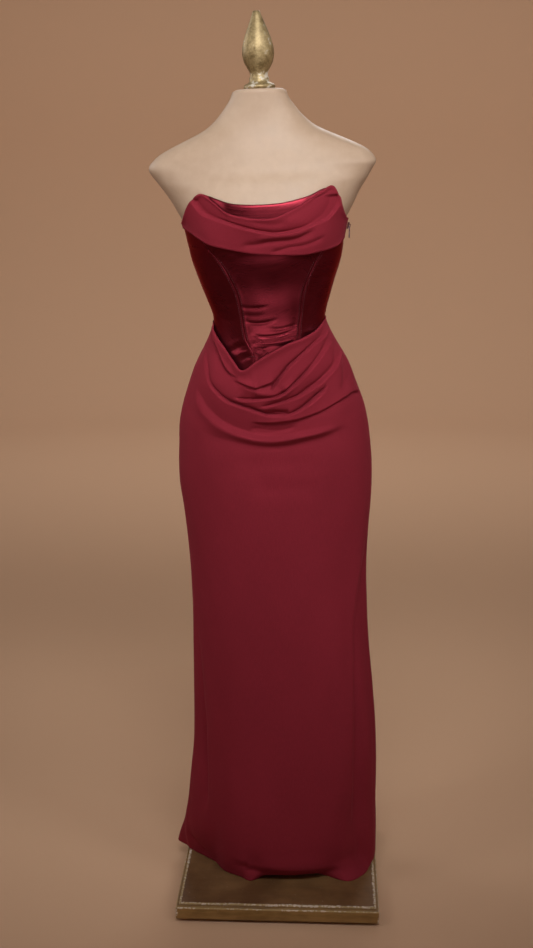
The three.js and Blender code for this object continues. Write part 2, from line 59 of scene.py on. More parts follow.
# One row for each level of the gown's outer face, in millimetres: height, centre sideways,
# centre toward the back, half width, depth in front, depth behind, squareness, and how far
# the face stands off the body at the side, in front and behind.
faceRows = np.array([
    (36, -12, 40, 201, 138, 100, 2.1, 12, 16, 14),
    (100, -4, 33, 193, 136, 104, 2.1, 12, 16, 14),
    (155, 2, 28, 185, 130, 106, 2.15, 12, 16, 14),
    (240, 6, 20, 181, 121, 109, 2.2, 12, 16, 14),
    (325, 7, 13, 177, 113, 113, 2.2, 12, 16, 14),
    (408, 4, 8, 173, 107, 116, 2.2, 12, 16, 14),
    (490, 0, 4, 169, 103, 118, 2.2, 12, 16, 14),
    (570, -3, 1, 166.5, 101, 119, 2.2, 12, 16, 14),
    (650, -6, 0, 167, 101, 120, 2.2, 11, 16, 14),
    (729, -8, 0, 172, 104, 122, 2.2, 10, 16, 14),
    (770, -9, 0, 176, 106, 125, 2.2, 9, 16, 13),
    (806, -11, 0, 179.5, 108, 128, 2.2, 8.5, 14, 10),
    (845, -12, 0, 180, 110, 130, 2.2, 8, 13, 7),
    (883, -13, 0, 178, 112, 130, 2.15, 8, 13, 6),
    (921, -15, 0, 175, 110, 128, 2.1, 8, 12, 5),
    (958, -16, 0, 167, 106, 124, 2.1, 7, 11, 5),
    (996, -18, 0, 154, 101, 117, 2.1, 6.5, 10, 5),
    (1033, -19, 0, 140, 95, 108, 2.1, 6, 9, 5),
    (1070, -21, 0, 120, 89, 98, 2.15, 5, 7, 4.6),
    (1090, -22, 0, 110, 86, 92, 2.2, 4.6, 5.6, 4.6),
    (1107, -23, 0, 104, 84, 88.5, 2.25, 4.4, 4.8, 4.4),
    (1125, -23, 0, 104.5, 84, 87, 2.25, 3.4, 3.6, 3.4),
    (1143, -24, 0, 109, 86, 87, 2.25, 2.4, 2.4, 2.4),
    (1179, -26, 0, 121, 93, 89, 2.3, 2.2, 2.2, 2.2),
    (1215, -27, 0, 133, 104, 93, 2.35, 2.2, 2.6, 2.2),
    (1233, -28, 0, 138.5, 110, 95, 2.35, 3.4, 5.2, 2.4),
    (1255, -29, 0, 143, 117, 98, 2.35, 4.4, 6.5, 2.8),
    (1276, -30, 0, 148, 119, 100, 2.35, 4.8, 6.5, 3),
    (1290, -30.5, 0, 152, 118, 102, 2.35, 4.8, 6.5, 3),
    (1311, -31, 0, 163, 112, 105, 2.35, 4.6, 7, 3),
    (1328, -32, 0, 172, 105, 107, 2.35, 4.6, 7, 3),
    (1341, -33, 0, 180, 99, 108, 2.35, 4.6, 7, 3),
    (1356, -34, 0, 190, 92, 110, 2.35, 4, 7, 3),
    (1365, -35, 0, 196, 86, 110, 2.35, 4, 7, 3),
    (1374, -36, 0, 202, 81, 109, 2.35, 4, 7, 3),
    (1383, -36, 0, 207.5, 77, 107, 2.35, 4, 7, 3),
    (1391, -37, 0, 206, 73, 105, 2.35, 4, 7, 3),
    (1400, -37, 0, 199, 69, 101, 2.3, 4, 7, 3),
    (1409, -37.5, 0, 188, 65, 97, 2.3, 4, 7, 3),
    (1420, -38, 0, 167, 61, 92, 2.25, 4, 7, 3),
    (1433, -38.5, 0, 138, 57, 87, 2.2, 4, 7, 3),
    (1448, -39, 0, 106, 53, 80, 2.15, 4, 7, 3),
    (1460, -39.5, 0, 90, 50.5, 76, 2.1, 4, 7, 3),
    (1473, -40, 0, 77, 48.5, 72, 2.1, 4, 7, 3),
    (1487, -40.5, 0, 66, 47.5, 69, 2.1, 4, 7, 3),
    (1500, -41, 0, 57, 47, 66, 2.1, 4, 7, 3),
    (1515, -41, 0, 51.5, 47, 65, 2.1, 4, 7, 3),
])
faceColumns = ["height", "middle", "back", "side", "front", "behind", "square",
               "offSide", "offFront", "offBehind"]
# the lean sideways in radians above a height, and the bust in degrees and millimetres
figure = {"lean": 0.0425, "leanFrom": 880, "leanOver": 220, "bustAngle": 33, "bustSpread": 17,
          "bustHeight": 1256, "bustTall": 36, "bustRise": 7, "sideSeam": 84}


def stretchAt(x, at):  # which stretch of x holds each place, how far along it, and its length
    at = np.clip(np.asarray(at, float), x[0], x[-1])
    i = np.clip(np.searchsorted(x, at, side="right") - 1, 0, len(x) - 2)
    span = x[i + 1] - x[i]
    return i, (at - x[i]) / span, span


def between(t, span, a, b, slopeA, slopeB):  # a cubic from a to b with these slopes
    return (a * (1 + 2 * t) * (1 - t) ** 2 + b * t * t * (3 - 2 * t)
            + span * slopeA * t * (1 - t) ** 2 - span * slopeB * t * t * (1 - t))


def along(rows, at, column=1):  # smooth value through rows of (place, value, ...)
    rows = np.asarray(rows, float)
    x, y = rows[:, 0], rows[:, column]
    slope = np.empty_like(y)
    slope[1:-1] = (y[2:] - y[:-2]) / (x[2:] - x[:-2])
    slope[0] = (y[1] - y[0]) / (x[1] - x[0])
    slope[-1] = (y[-1] - y[-2]) / (x[-1] - x[-2])
    i, t, span = stretchAt(x, at)
    return between(t, span, y[i], y[i + 1], slope[i], slope[i + 1])


def slopeAt(rows, angle, perDegree=2.2, nudge=0.8):  # rise of a line for each millimetre round the body
    return (along(rows, angle + nudge) - along(rows, angle - nudge)) / (2 * nudge) / perDegree


def faceAt(name, z):  # one column of the face at these heights
    return along(faceRows, z, faceColumns.index(name))


def smooth(t):
    t = np.clip(t, 0, 1)
    return t * t * (3 - 2 * t)


def rise(at, start, over):
    return smooth((at - start) / over)


def fall(at, end, over):
    return smooth((end - at) / over)


def bell(x, width):
    return np.exp(-((x / width) ** 2))


def mix(a, b, t):
    return a + (b - a) * t


def bust(angle, z):
    lobes = sum(bell(angle - side * figure["bustAngle"], figure["bustSpread"]) for side in (-1, 1))
    return figure["bustRise"] * lobes * bell(z - figure["bustHeight"], figure["bustTall"])


def easeAt(angle, z):  # how far the gown's face stands off the body
    c = np.cos(np.radians(angle))
    ahead = np.where(c > 0, faceAt("offFront", z), faceAt("offBehind", z))
    return mix(faceAt("offSide", z), ahead, c * c)


def section(angle, z, out, eased=0.0):  # eased 0 is the gown's face and 1 the body
    angle, z = np.broadcast_arrays(np.asarray(angle, float), np.asarray(z, float))
    s, c = np.sin(np.radians(angle)), np.cos(np.radians(angle))
    more = out + bust(angle, z)
    power = faceAt("square", z)
    side = faceAt("side", z) - eased * faceAt("offSide", z) + more
    front = faceAt("front", z) - eased * faceAt("offFront", z)
    behind = faceAt("behind", z) - eased * faceAt("offBehind", z)
    depth = np.where(c > 0, front, behind) + more
    x = side * np.sign(s) * np.abs(s) ** (2 / power)
    y = faceAt("back", z) - depth * np.sign(c) * np.abs(c) ** (2 / power)
    lean = figure["lean"] * np.clip((z - figure["leanFrom"]) / figure["leanOver"], 0, 1)
    return np.stack([faceAt("middle", z) + x * np.cos(lean), y, z + x * np.sin(lean)], -1)


def frameSpot(points):  # where points in millimetres fall in the picture, in pixels
    tilt, turn = math.radians(view["tilt"]), math.radians(view["turn"])
    ahead = np.array([-math.sin(turn) * math.sin(tilt), math.cos(turn) * math.sin(tilt), -math.cos(tilt)])
    right = np.array([math.cos(turn), math.sin(turn), 0])
    away = points * mm - np.array(view["place"])
    scale = view["lens"] / view["sensor"] * view["high"] / (away @ ahead)
    return np.stack([view["middle"][0] + scale * (away @ right),
                     view["middle"][1] - scale * (away @ np.cross(right, ahead))], -1)


# Folds. Depths and widths are millimetres; fade is how long each end dies away, in pixels for
# a line traced in the picture and in degrees for one on a hidden side.
tracing = {"step": 1.5, "reach": 32, "ends": 0.1, "roundEnds": 0.15, "grooveBehind": 1.6, "grooveWide": 1.7}


def lip(high, deep, proudWide, deepWide, fade, proud=1, edge=1.5, groove=0, **more):
    # the crisp edge of one layer over the next: it stands proud on one side of its line and the
    # cloth sinks on the other, deepest in a groove right behind it
    return {"lip": high, "deep": deep, "proudWide": proudWide, "deepWide": deepWide, "fade": fade,
            "proud": proud, "edge": edge, "groove": groove, **more}


def trough(deep, above, below, fade, power=2, **more):  # power is 1 where its bottom is sharp
    return {"deep": deep, "above": above, "below": below, "fade": fade, "power": power, **more}


def ridge(high, above, below, fade, **more):
    return trough(-high, above, below, fade, **more)


def profile(fold, across, strength):  # how far the cloth moves out, across a fold
    if "lip" in fold:
        side = across * fold["proud"]
        step = 0.5 * (1 + np.tanh(side / fold["edge"]))
        proud = step * fold["lip"] * np.exp(-np.clip(side, 0, None) / fold["proudWide"])
        sunk = (1 - step) * fold["deep"] * np.exp(-np.clip(-side, 0, None) / fold["deepWide"])
        groove = fold["groove"] * bell(side + tracing["grooveBehind"], tracing["grooveWide"])
        return strength * (proud - sunk - groove)
    width = np.where(across > 0, fold["above"], fold["below"])
    return -strength * fold["deep"] * np.exp(-np.abs(across / width) ** fold["power"])


def foldsSeen(folds, spots):  # folds traced in the picture, from left to right or top to bottom
    total = np.zeros(len(spots))
    reach, soft = tracing["reach"], tracing["ends"]
    for fold in folds:
        points = np.array(fold["line"], float)
        run = np.concatenate([[0], np.cumsum(np.hypot(*np.diff(points, axis=0).T))])
        steps = np.linspace(0, run[-1], max(3, int(run[-1] / tracing["step"])))
        curve = np.stack([along(np.c_[run, points[:, k]], steps) for k in (0, 1)], -1)
        tangent = np.gradient(curve, axis=0)
        tangent /= np.hypot(*tangent.T)[:, None]
        near = np.all((spots > curve.min(0) - reach) & (spots < curve.max(0) + reach), axis=1)
        if not near.any():
            continue
        gaps = spots[near][:, None, :] - curve[None]
        closest = (gaps ** 2).sum(-1).argmin(1)
        gap = gaps[np.arange(len(gaps)), closest]
        t = tangent[closest]
        across = (gap[:, 0] * t[:, 1] - gap[:, 1] * t[:, 0]) * view["perPixel"]
        place = steps[closest] + (gap * t).sum(-1)
        starts, ends = fold["fade"]
        strength = (smooth(place / starts + fold.get("startAt", soft))
                    * smooth((run[-1] - place) / ends + fold.get("endAt", soft)))
        if "strength" in fold:
            strength = strength * along(fold["strength"], place / run[-1])
        total[near] += profile(fold, across, strength)
    return total


def foldsRound(folds, angle, z, perDegree=2.2):  # folds as heights against the angle, for hidden sides
    total = np.zeros_like(z)
    for fold in folds:
        line, ends, soft = fold["line"], fold["fade"], tracing["roundEnds"]
        near = smooth((angle - line[0][0]) / ends + soft) * smooth((line[-1][0] - angle) / ends + soft)
        total += profile(fold, (z - along(line, angle)) / np.hypot(1, slopeAt(line, angle, perDegree)), near)
    return total


# slow waves of cloth that hangs freely: turns round the body and up it, share of the seed, height
waves = [(2.3, 1.1, 1, 1), (3.7, -1.9, 2.1, 1), (6.1, 2.7, 0.7, 0.6), (-1.3, 4.3, 1, 0.5)]


def unevenness(angle, z, size, seed):
    a, b = np.radians(angle) * 3.1, z / 61.0
    return size * sum(high * np.sin(a * turn + b * up + share * seed) for turn, up, share, high in waves)


class Wire:  # a node's output that takes part in sums
    def __init__(self, paint, socket):
        self.paint, self.socket = paint, socket

    def __add__(self, other):
        return self.paint.maths("ADD", self, other)

    def __sub__(self, other):
        return self.paint.maths("SUBTRACT", self, other)

    def __mul__(self, other):
        return self.paint.maths("MULTIPLY", self, other)


class Paint:  # one material and its nodes
    def __init__(self, name):
        self.material = bpy.data.materials.new(name)
        self.material.use_nodes = True
        self.tree = self.material.node_tree
        self.tree.nodes.clear()
        self.surface = self.tree.nodes.new("ShaderNodeBsdfPrincipled")
        end = self.tree.nodes.new("ShaderNodeOutputMaterial")
        self.tree.links.new(self.surface.outputs[0], end.inputs[0])

    def give(self, node, inputs):
        for key, value in inputs.items():
            socket = node.inputs[key]
            if isinstance(value, Wire):
                self.tree.links.new(value.socket, socket)
            else:
                socket.default_value = value

    def node(self, kind, settings=None, inputs=None, out=0):
        node = self.tree.nodes.new(kind)
        for key, value in (settings or {}).items():
            setattr(node, key, value)
        self.give(node, inputs or {})
        return Wire(self, node.outputs[out])

    def coordinates(self, kind="Object", scale=(1, 1, 1)):
        source = self.node("ShaderNodeTexCoord", out=kind)
        return self.node("ShaderNodeMapping", {}, {"Vector": source, "Scale": scale})

    def noise(self, where, scale, detail=3.0, rough=0.55):
        return self.node("ShaderNodeTexNoise", {}, {"Vector": where, "Scale": scale, "Detail": detail,
                                                    "Roughness": rough})

    def grade(self, value, low, high, toLow=0.0, toHigh=1.0):
        return self.node("ShaderNodeMapRange", {"interpolation_type": "SMOOTHSTEP"},
                         {0: value, 1: low, 2: high, 3: toLow, 4: toHigh})

    def parts(self, where):
        source = self.tree.nodes.new("ShaderNodeSeparateXYZ")
        self.give(source, {0: where})
        return [Wire(self, socket) for socket in source.outputs]

    def maths(self, kind, *values):
        return self.node("ShaderNodeMath", {"operation": kind}, dict(enumerate(values)))

    def size(self, value):
        return self.maths("ABSOLUTE", value)

    def more(self, a, b):
        return self.maths("MAXIMUM", a, b)

    def less(self, a, b):
        return self.maths("MINIMUM", a, b)

    def blend(self, mask, a, b):
        low, high = [tone if isinstance(tone, Wire) else (*tone, 1) for tone in (a, b)]
        return self.node("ShaderNodeMix", {"data_type": "RGBA"}, {0: mask, 6: low, 7: high}, out=2)

    def bump(self, height, strength, depth):
        return self.node("ShaderNodeBump", {}, {"Height": height, "Strength": strength, "Distance": depth})

    def finish(self, **sockets):
        self.give(self.surface, {key.replace("_", " "): value for key, value in sockets.items()})
        return self.material


# noise scales are for each metre of cloth
crepe = {"dark": (0.165, 0.0142, 0.0235), "light": (0.232, 0.0200, 0.0338), "pebble": 1150, "cross": 620,
         "cloud": 6, "roughness": 0.95, "sheen": 0.12, "sheenTint": (0.9, 0.16, 0.22, 1), "relief": 0.0004}


def crepePaint(name):
    paint = Paint(name)
    cloth = paint.coordinates("UV")
    pebble = paint.noise(cloth, crepe["pebble"], 2.0, 0.6)
    cross = paint.noise(paint.coordinates("UV", (1, 0.3, 1)), crepe["cross"], 1.0)
    cloud = paint.noise(cloth, crepe["cloud"], 3.0)
    shade = paint.grade(pebble * 0.45 + cross * 0.2 + cloud * 0.35, 0.28, 0.72)
    return paint.finish(Base_Color=paint.blend(shade, crepe["dark"], crepe["light"]),
                        Roughness=crepe["roughness"], Specular_IOR_Level=0.06,
                        Sheen_Weight=crepe["sheen"], Sheen_Roughness=0.4, Sheen_Tint=crepe["sheenTint"],
                        Normal=paint.bump(pebble + cross, 0.35, crepe["relief"]))


satin = {"dark": (0.098, 0.0086, 0.0140), "light": (0.145, 0.0135, 0.0215), "thread": 2600, "slub": 430,
         "cloud": 14, "metallic": 0.84, "roughness": (0.26, 0.35), "tint": (1.0, 0.16, 0.24, 1),
         "relief": 0.0003}


def satinPaint(name):
    paint = Paint(name)
    cloth = paint.coordinates("UV")
    thread = paint.noise(paint.coordinates("UV", (0.10, 1, 1)), satin["thread"], 1.0)
    slub = paint.noise(paint.coordinates("UV", (0.06, 1, 1)), satin["slub"], 2.0)
    cloud = paint.noise(cloth, satin["cloud"], 2.0)
    shade = paint.grade(thread * 0.3 + slub * 0.35 + cloud * 0.35, 0.32, 0.68)
    return paint.finish(Base_Color=paint.blend(shade, satin["dark"], satin["light"]),
                        Metallic=satin["metallic"],
                        Roughness=paint.grade(slub * 0.6 + cloud * 0.4, 0.3, 0.7, *satin["roughness"]),
                        Specular_IOR_Level=0.4, Specular_Tint=satin["tint"],
                        Normal=paint.bump(thread * 0.3 + slub, 0.16, satin["relief"]))


skin = {"dark": (0.385, 0.268, 0.184), "light": (0.475, 0.345, 0.248), "roughness": (0.42, 0.55),
        "relief": 0.0006}


def skinPaint(name):
    paint = Paint(name)
    place = paint.coordinates()
    broad = paint.noise(place, 5, 3.0)
    fine = paint.noise(place, 60, 4.0)
    weave = paint.noise(place, 900, 1.0)
    shade = paint.grade(broad * 0.7 + fine * 0.3, 0.3, 0.7)
    return paint.finish(Base_Color=paint.blend(shade, skin["dark"], skin["light"]),
                        Roughness=paint.grade(fine, 0.3, 0.7, *skin["roughness"]), Specular_IOR_Level=0.4,
                        Normal=paint.bump(weave * 0.4 + fine, 0.08, skin["relief"]))


# the collar is worn more below its level, which fades in over these heights
gilding = {"dark": (0.20, 0.140, 0.058), "light": (0.42, 0.315, 0.155), "bare": (0.52, 0.47, 0.38),
           "collar": (1.556, 1.540), "wornFrom": (0.68, 0.74), "roughness": (0.36, 0.52), "relief": 0.0006}


def finialPaint(name):
    paint = Paint(name)
    place = paint.coordinates()
    patch = paint.noise(place, 55, 5.0, 0.65)
    fleck = paint.noise(place, 260, 3.0)
    collar = paint.grade(paint.parts(place)[2], *gilding["collar"])
    worn = paint.grade(patch + collar * 0.10 + fleck * 0.12, *gilding["wornFrom"])
    gold = paint.blend(paint.grade(fleck * 0.4 + patch * 0.6, 0.35, 0.65),
                       gilding["dark"], gilding["light"])
    return paint.finish(Base_Color=paint.blend(worn, gold, gilding["bare"]),
                        Metallic=paint.grade(worn, 0.0, 1.0, 0.5, 0.0),
                        Roughness=paint.grade(patch, 0.3, 0.7, *gilding["roughness"]),
                        Normal=paint.bump(fleck * 0.5 - worn, 0.25, gilding["relief"]))


# half width and height in metres, the rest as distances from the edge and from the top
board = {"half": 0.19, "top": 0.036, "rim": (0.0125, 0.0085), "paintedEdgeHighlight": (0.0100, 0.0085),
         "arris": (0.0022, 0.0006), "arrisDrop": (0.010, 0.0068), "corner": (0.006, 0.001),
         # the top's two tones are painted shade: the top is painted darker than the gold of the sides
         "paintedShadeTopDark": (0.104, 0.048, 0.017), "paintedShadeTopLight": (0.184, 0.095, 0.035),
         "sideDark": (0.165, 0.088, 0.022), "sideLight": (0.275, 0.158, 0.047),
         # painted highlight: the gilt reach above and this tone paint a paler line along the top edges
         "paintedEdgeHighlightTone": (0.40, 0.29, 0.13), "bareDark": (0.42, 0.33, 0.24), "bareLight": (0.70, 0.62, 0.52)}


def basePaint(name):
    paint = Paint(name)
    place = paint.coordinates()
    half, top = board["half"], board["top"]
    x, y, z = paint.parts(place)
    far, nearer = paint.more(paint.size(x), paint.size(y)), paint.less(paint.size(x), paint.size(y))
    grain = paint.noise(paint.coordinates("Object", (1, 6, 6)), 22, 5.0, 0.6)
    cloud = paint.noise(place, 14, 4.0)
    speck = paint.noise(place, 170, 4.0, 0.7)

    def edge(where, end, reach):
        return paint.grade(where, end - reach[0], end - reach[1])

    onTop = edge(z, top, (0.0045, 0.0005))
    rim = onTop * edge(far, half, board["rim"])
    arris = edge(z, top, board["arrisDrop"]) * edge(far, half, board["arris"])
    corner = edge(nearer, half, board["corner"])
    edges = paint.more(paint.more(rim, arris * 0.85), corner * 0.8)
    chip = paint.grade(speck * 0.72 + cloud * 0.28 + edges * 0.145, 0.645, 0.665)
    fleck = paint.grade(paint.noise(place, 300, 2.0) + edges * 0.02, 0.735, 0.75)
    side = edge(z, top, (0.002, 0.006))
    # painted highlight: a paler gold line along the edge of the raised top and the slab's top arris
    paintedEdgeHighlight = paint.more(arris, onTop * edge(far, half, board["paintedEdgeHighlight"]))
    # painted shade: the top gets a darker copy of the sides' gold paint
    paintedShadeTopTone = paint.blend(paint.grade(cloud, 0.35, 0.68), board["paintedShadeTopDark"], board["paintedShadeTopLight"])
    sideTone = paint.blend(paint.grade(grain * 0.6 + cloud * 0.4, 0.35, 0.65),
                           board["sideDark"], board["sideLight"])
    pale = paint.blend(cloud, board["bareDark"], board["bareLight"])
    bare = paint.more(chip * paint.grade(edges, 0.05, 0.5), fleck * 0.7)
    # the paint layer: the sides' own gold, painted shade on the top and a painted highlight along the top
    # edges
    painted = paint.blend(paintedEdgeHighlight * 0.8, paint.blend(side, paintedShadeTopTone, sideTone), board["paintedEdgeHighlightTone"])
    return paint.finish(Base_Color=paint.blend(bare, painted, pale),
                        Roughness=paint.grade(cloud * 0.5 + grain * 0.5, 0.3, 0.7, 0.42, 0.62),
                        Normal=paint.bump(grain * 0.4 - bare * 1.5, 0.35, 0.0009))


def plainPaint(name, dark, light, roughness, metallic=0.0, scale=80):
    paint = Paint(name)
    fine = paint.noise(paint.coordinates(), scale, 4.0)
    return paint.finish(Base_Color=paint.blend(fine, dark, light), Metallic=metallic,
                        Roughness=paint.grade(fine, 0.3, 0.7, roughness - 0.06, roughness + 0.08),
                        Normal=paint.bump(fine, 0.1, 0.0003))


paints = {
    "crepe": crepePaint("crepe"),
    "satin": satinPaint("satin"),
    "skin": skinPaint("formSkin"),
    "finial": finialPaint("antiqueGold"),
    # the board's finish: real chips and wear at the edges, with painted shade on the top and a painted
    # highlight along the top edges
    "base": basePaint("wornGoldBrownPaintedLight"),
    # the plinth's dark wood, painted near black as the shadow in the recess under the board: painted shadow
    "plinth": plainPaint("darkWoodPaintedShadow", (0.012, 0.008, 0.005), (0.035, 0.022, 0.013), 0.7),
    "thread": plainPaint("thread", (0.075, 0.008, 0.014), (0.12, 0.014, 0.024), 0.6, 0.0, 900),
    "pole": plainPaint("dullSteel", (0.20, 0.19, 0.18), (0.32, 0.31, 0.30), 0.38, 0.9, 150),
    "slider": plainPaint("redLacquer", (0.060, 0.006, 0.010), (0.10, 0.012, 0.018), 0.35, 0.2, 300),
    "tab": plainPaint("greyMetal", (0.25, 0.18, 0.22), (0.36, 0.28, 0.32), 0.3, 0.85, 300),
}
print("materials made")


def clothPiece(name, across, up, place, size, paint, thick):  # place gives millimetres for s and t
    grid = bmesh.new()
    bmesh.ops.create_grid(grid, x_segments=across, y_segments=up, size=0.5)
    mesh = bpy.data.meshes.new(name)
    grid.to_mesh(mesh)
    grid.free()
    flat = np.empty(len(mesh.vertices) * 3)
    mesh.vertices.foreach_get("co", flat)
    s, t = flat[0::3] + 0.5, flat[1::3] + 0.5
    mesh.vertices.foreach_set("co", (place(s, t) * mm).ravel())
    corner = np.empty(len(mesh.loops), int)
    mesh.loops.foreach_get("vertex_index", corner)
    weave = mesh.uv_layers.new(name="weave")
    weave.data.foreach_set("uv", np.stack([s[corner] * size[0], t[corner] * size[1]], -1).ravel())
    mesh.polygons.foreach_set("use_smooth", np.ones(len(mesh.polygons), bool))
    mesh.materials.append(paint)
    mesh.update()
    piece = bpy.data.objects.new(name, mesh)
    bpy.context.collection.objects.link(piece)
    wall = piece.modifiers.new("thickness", "SOLIDIFY")
    wall.thickness = thick * mm
    wall.offset = -1
    return piece


def dress(piece, node):
    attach(piece, "gown_on_form")
    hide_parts(node)


def addPiece(name, shape, paint):
    for face in shape.faces:
        face.smooth = True
    mesh = bpy.data.meshes.new(name)
    shape.to_mesh(mesh)
    shape.free()
    mesh.materials.append(paint)
    piece = bpy.data.objects.new(name, mesh)
    bpy.context.collection.objects.link(piece)
    return piece


# millimetres and degrees; a pair is where something starts or ends and over how far, or a depth
# and its width
skirt = {"across": 240, "up": 200, "flat": (0.45, 1.10), "thick": 1.2, "relief": 1.75,
         "seam": 83.9, "seamFade": 9, "hem": 36.3, "lowRows": 0.36, "lowCrowd": 1.35,
         "full": 3, "fullFrom": (840, 60), "fuller": 3, "fullerFrom": (930, 60),
         "roll": (5.5, 9), "rollEdge": (2.0, 1.8), "wave": (0.3, 1.7),
         "deepest": -24, "keptFrom": (650, 110), "overBodice": 1005, "clear": (4.3, 2.6)}
backSkirt = {"across": 150, "up": 130, "flat": (0.50, 1.09), "from": 84.1, "to": 275.9, "waist": 1112,
             "lowRows": 0.55, "lowCrowd": 1.2, "flutes": 5, "fluteDeep": 7, "fluteFrom": (620, 500),
             "rightCorner": 8, "rightAt": (259, 9), "rightFrom": (120, 80),
             "leftCorner": 14, "leftAt": (113, 10), "leftFrom": (150, 110),
             "endsAt": (254, 22), "cornerEnds": (276, 8), "wave": (0.3, 4.2)}
skirtTop = [(-90, 1112), (-78, 1109), (-61, 1097), (-46, 1082), (-36, 1069), (-26, 1050), (-18, 1032),
            (-8, 1048), (2, 1063), (14, 1076), (26, 1083), (46, 1094), (66, 1104), (90, 1112)]
cowlLevel = [(-90, 960), (-57, 925), (-41, 905), (-26, 893), (-9, 886), (3, 886), (16, 891), (32, 900),
             (49, 913), (90, 955)]
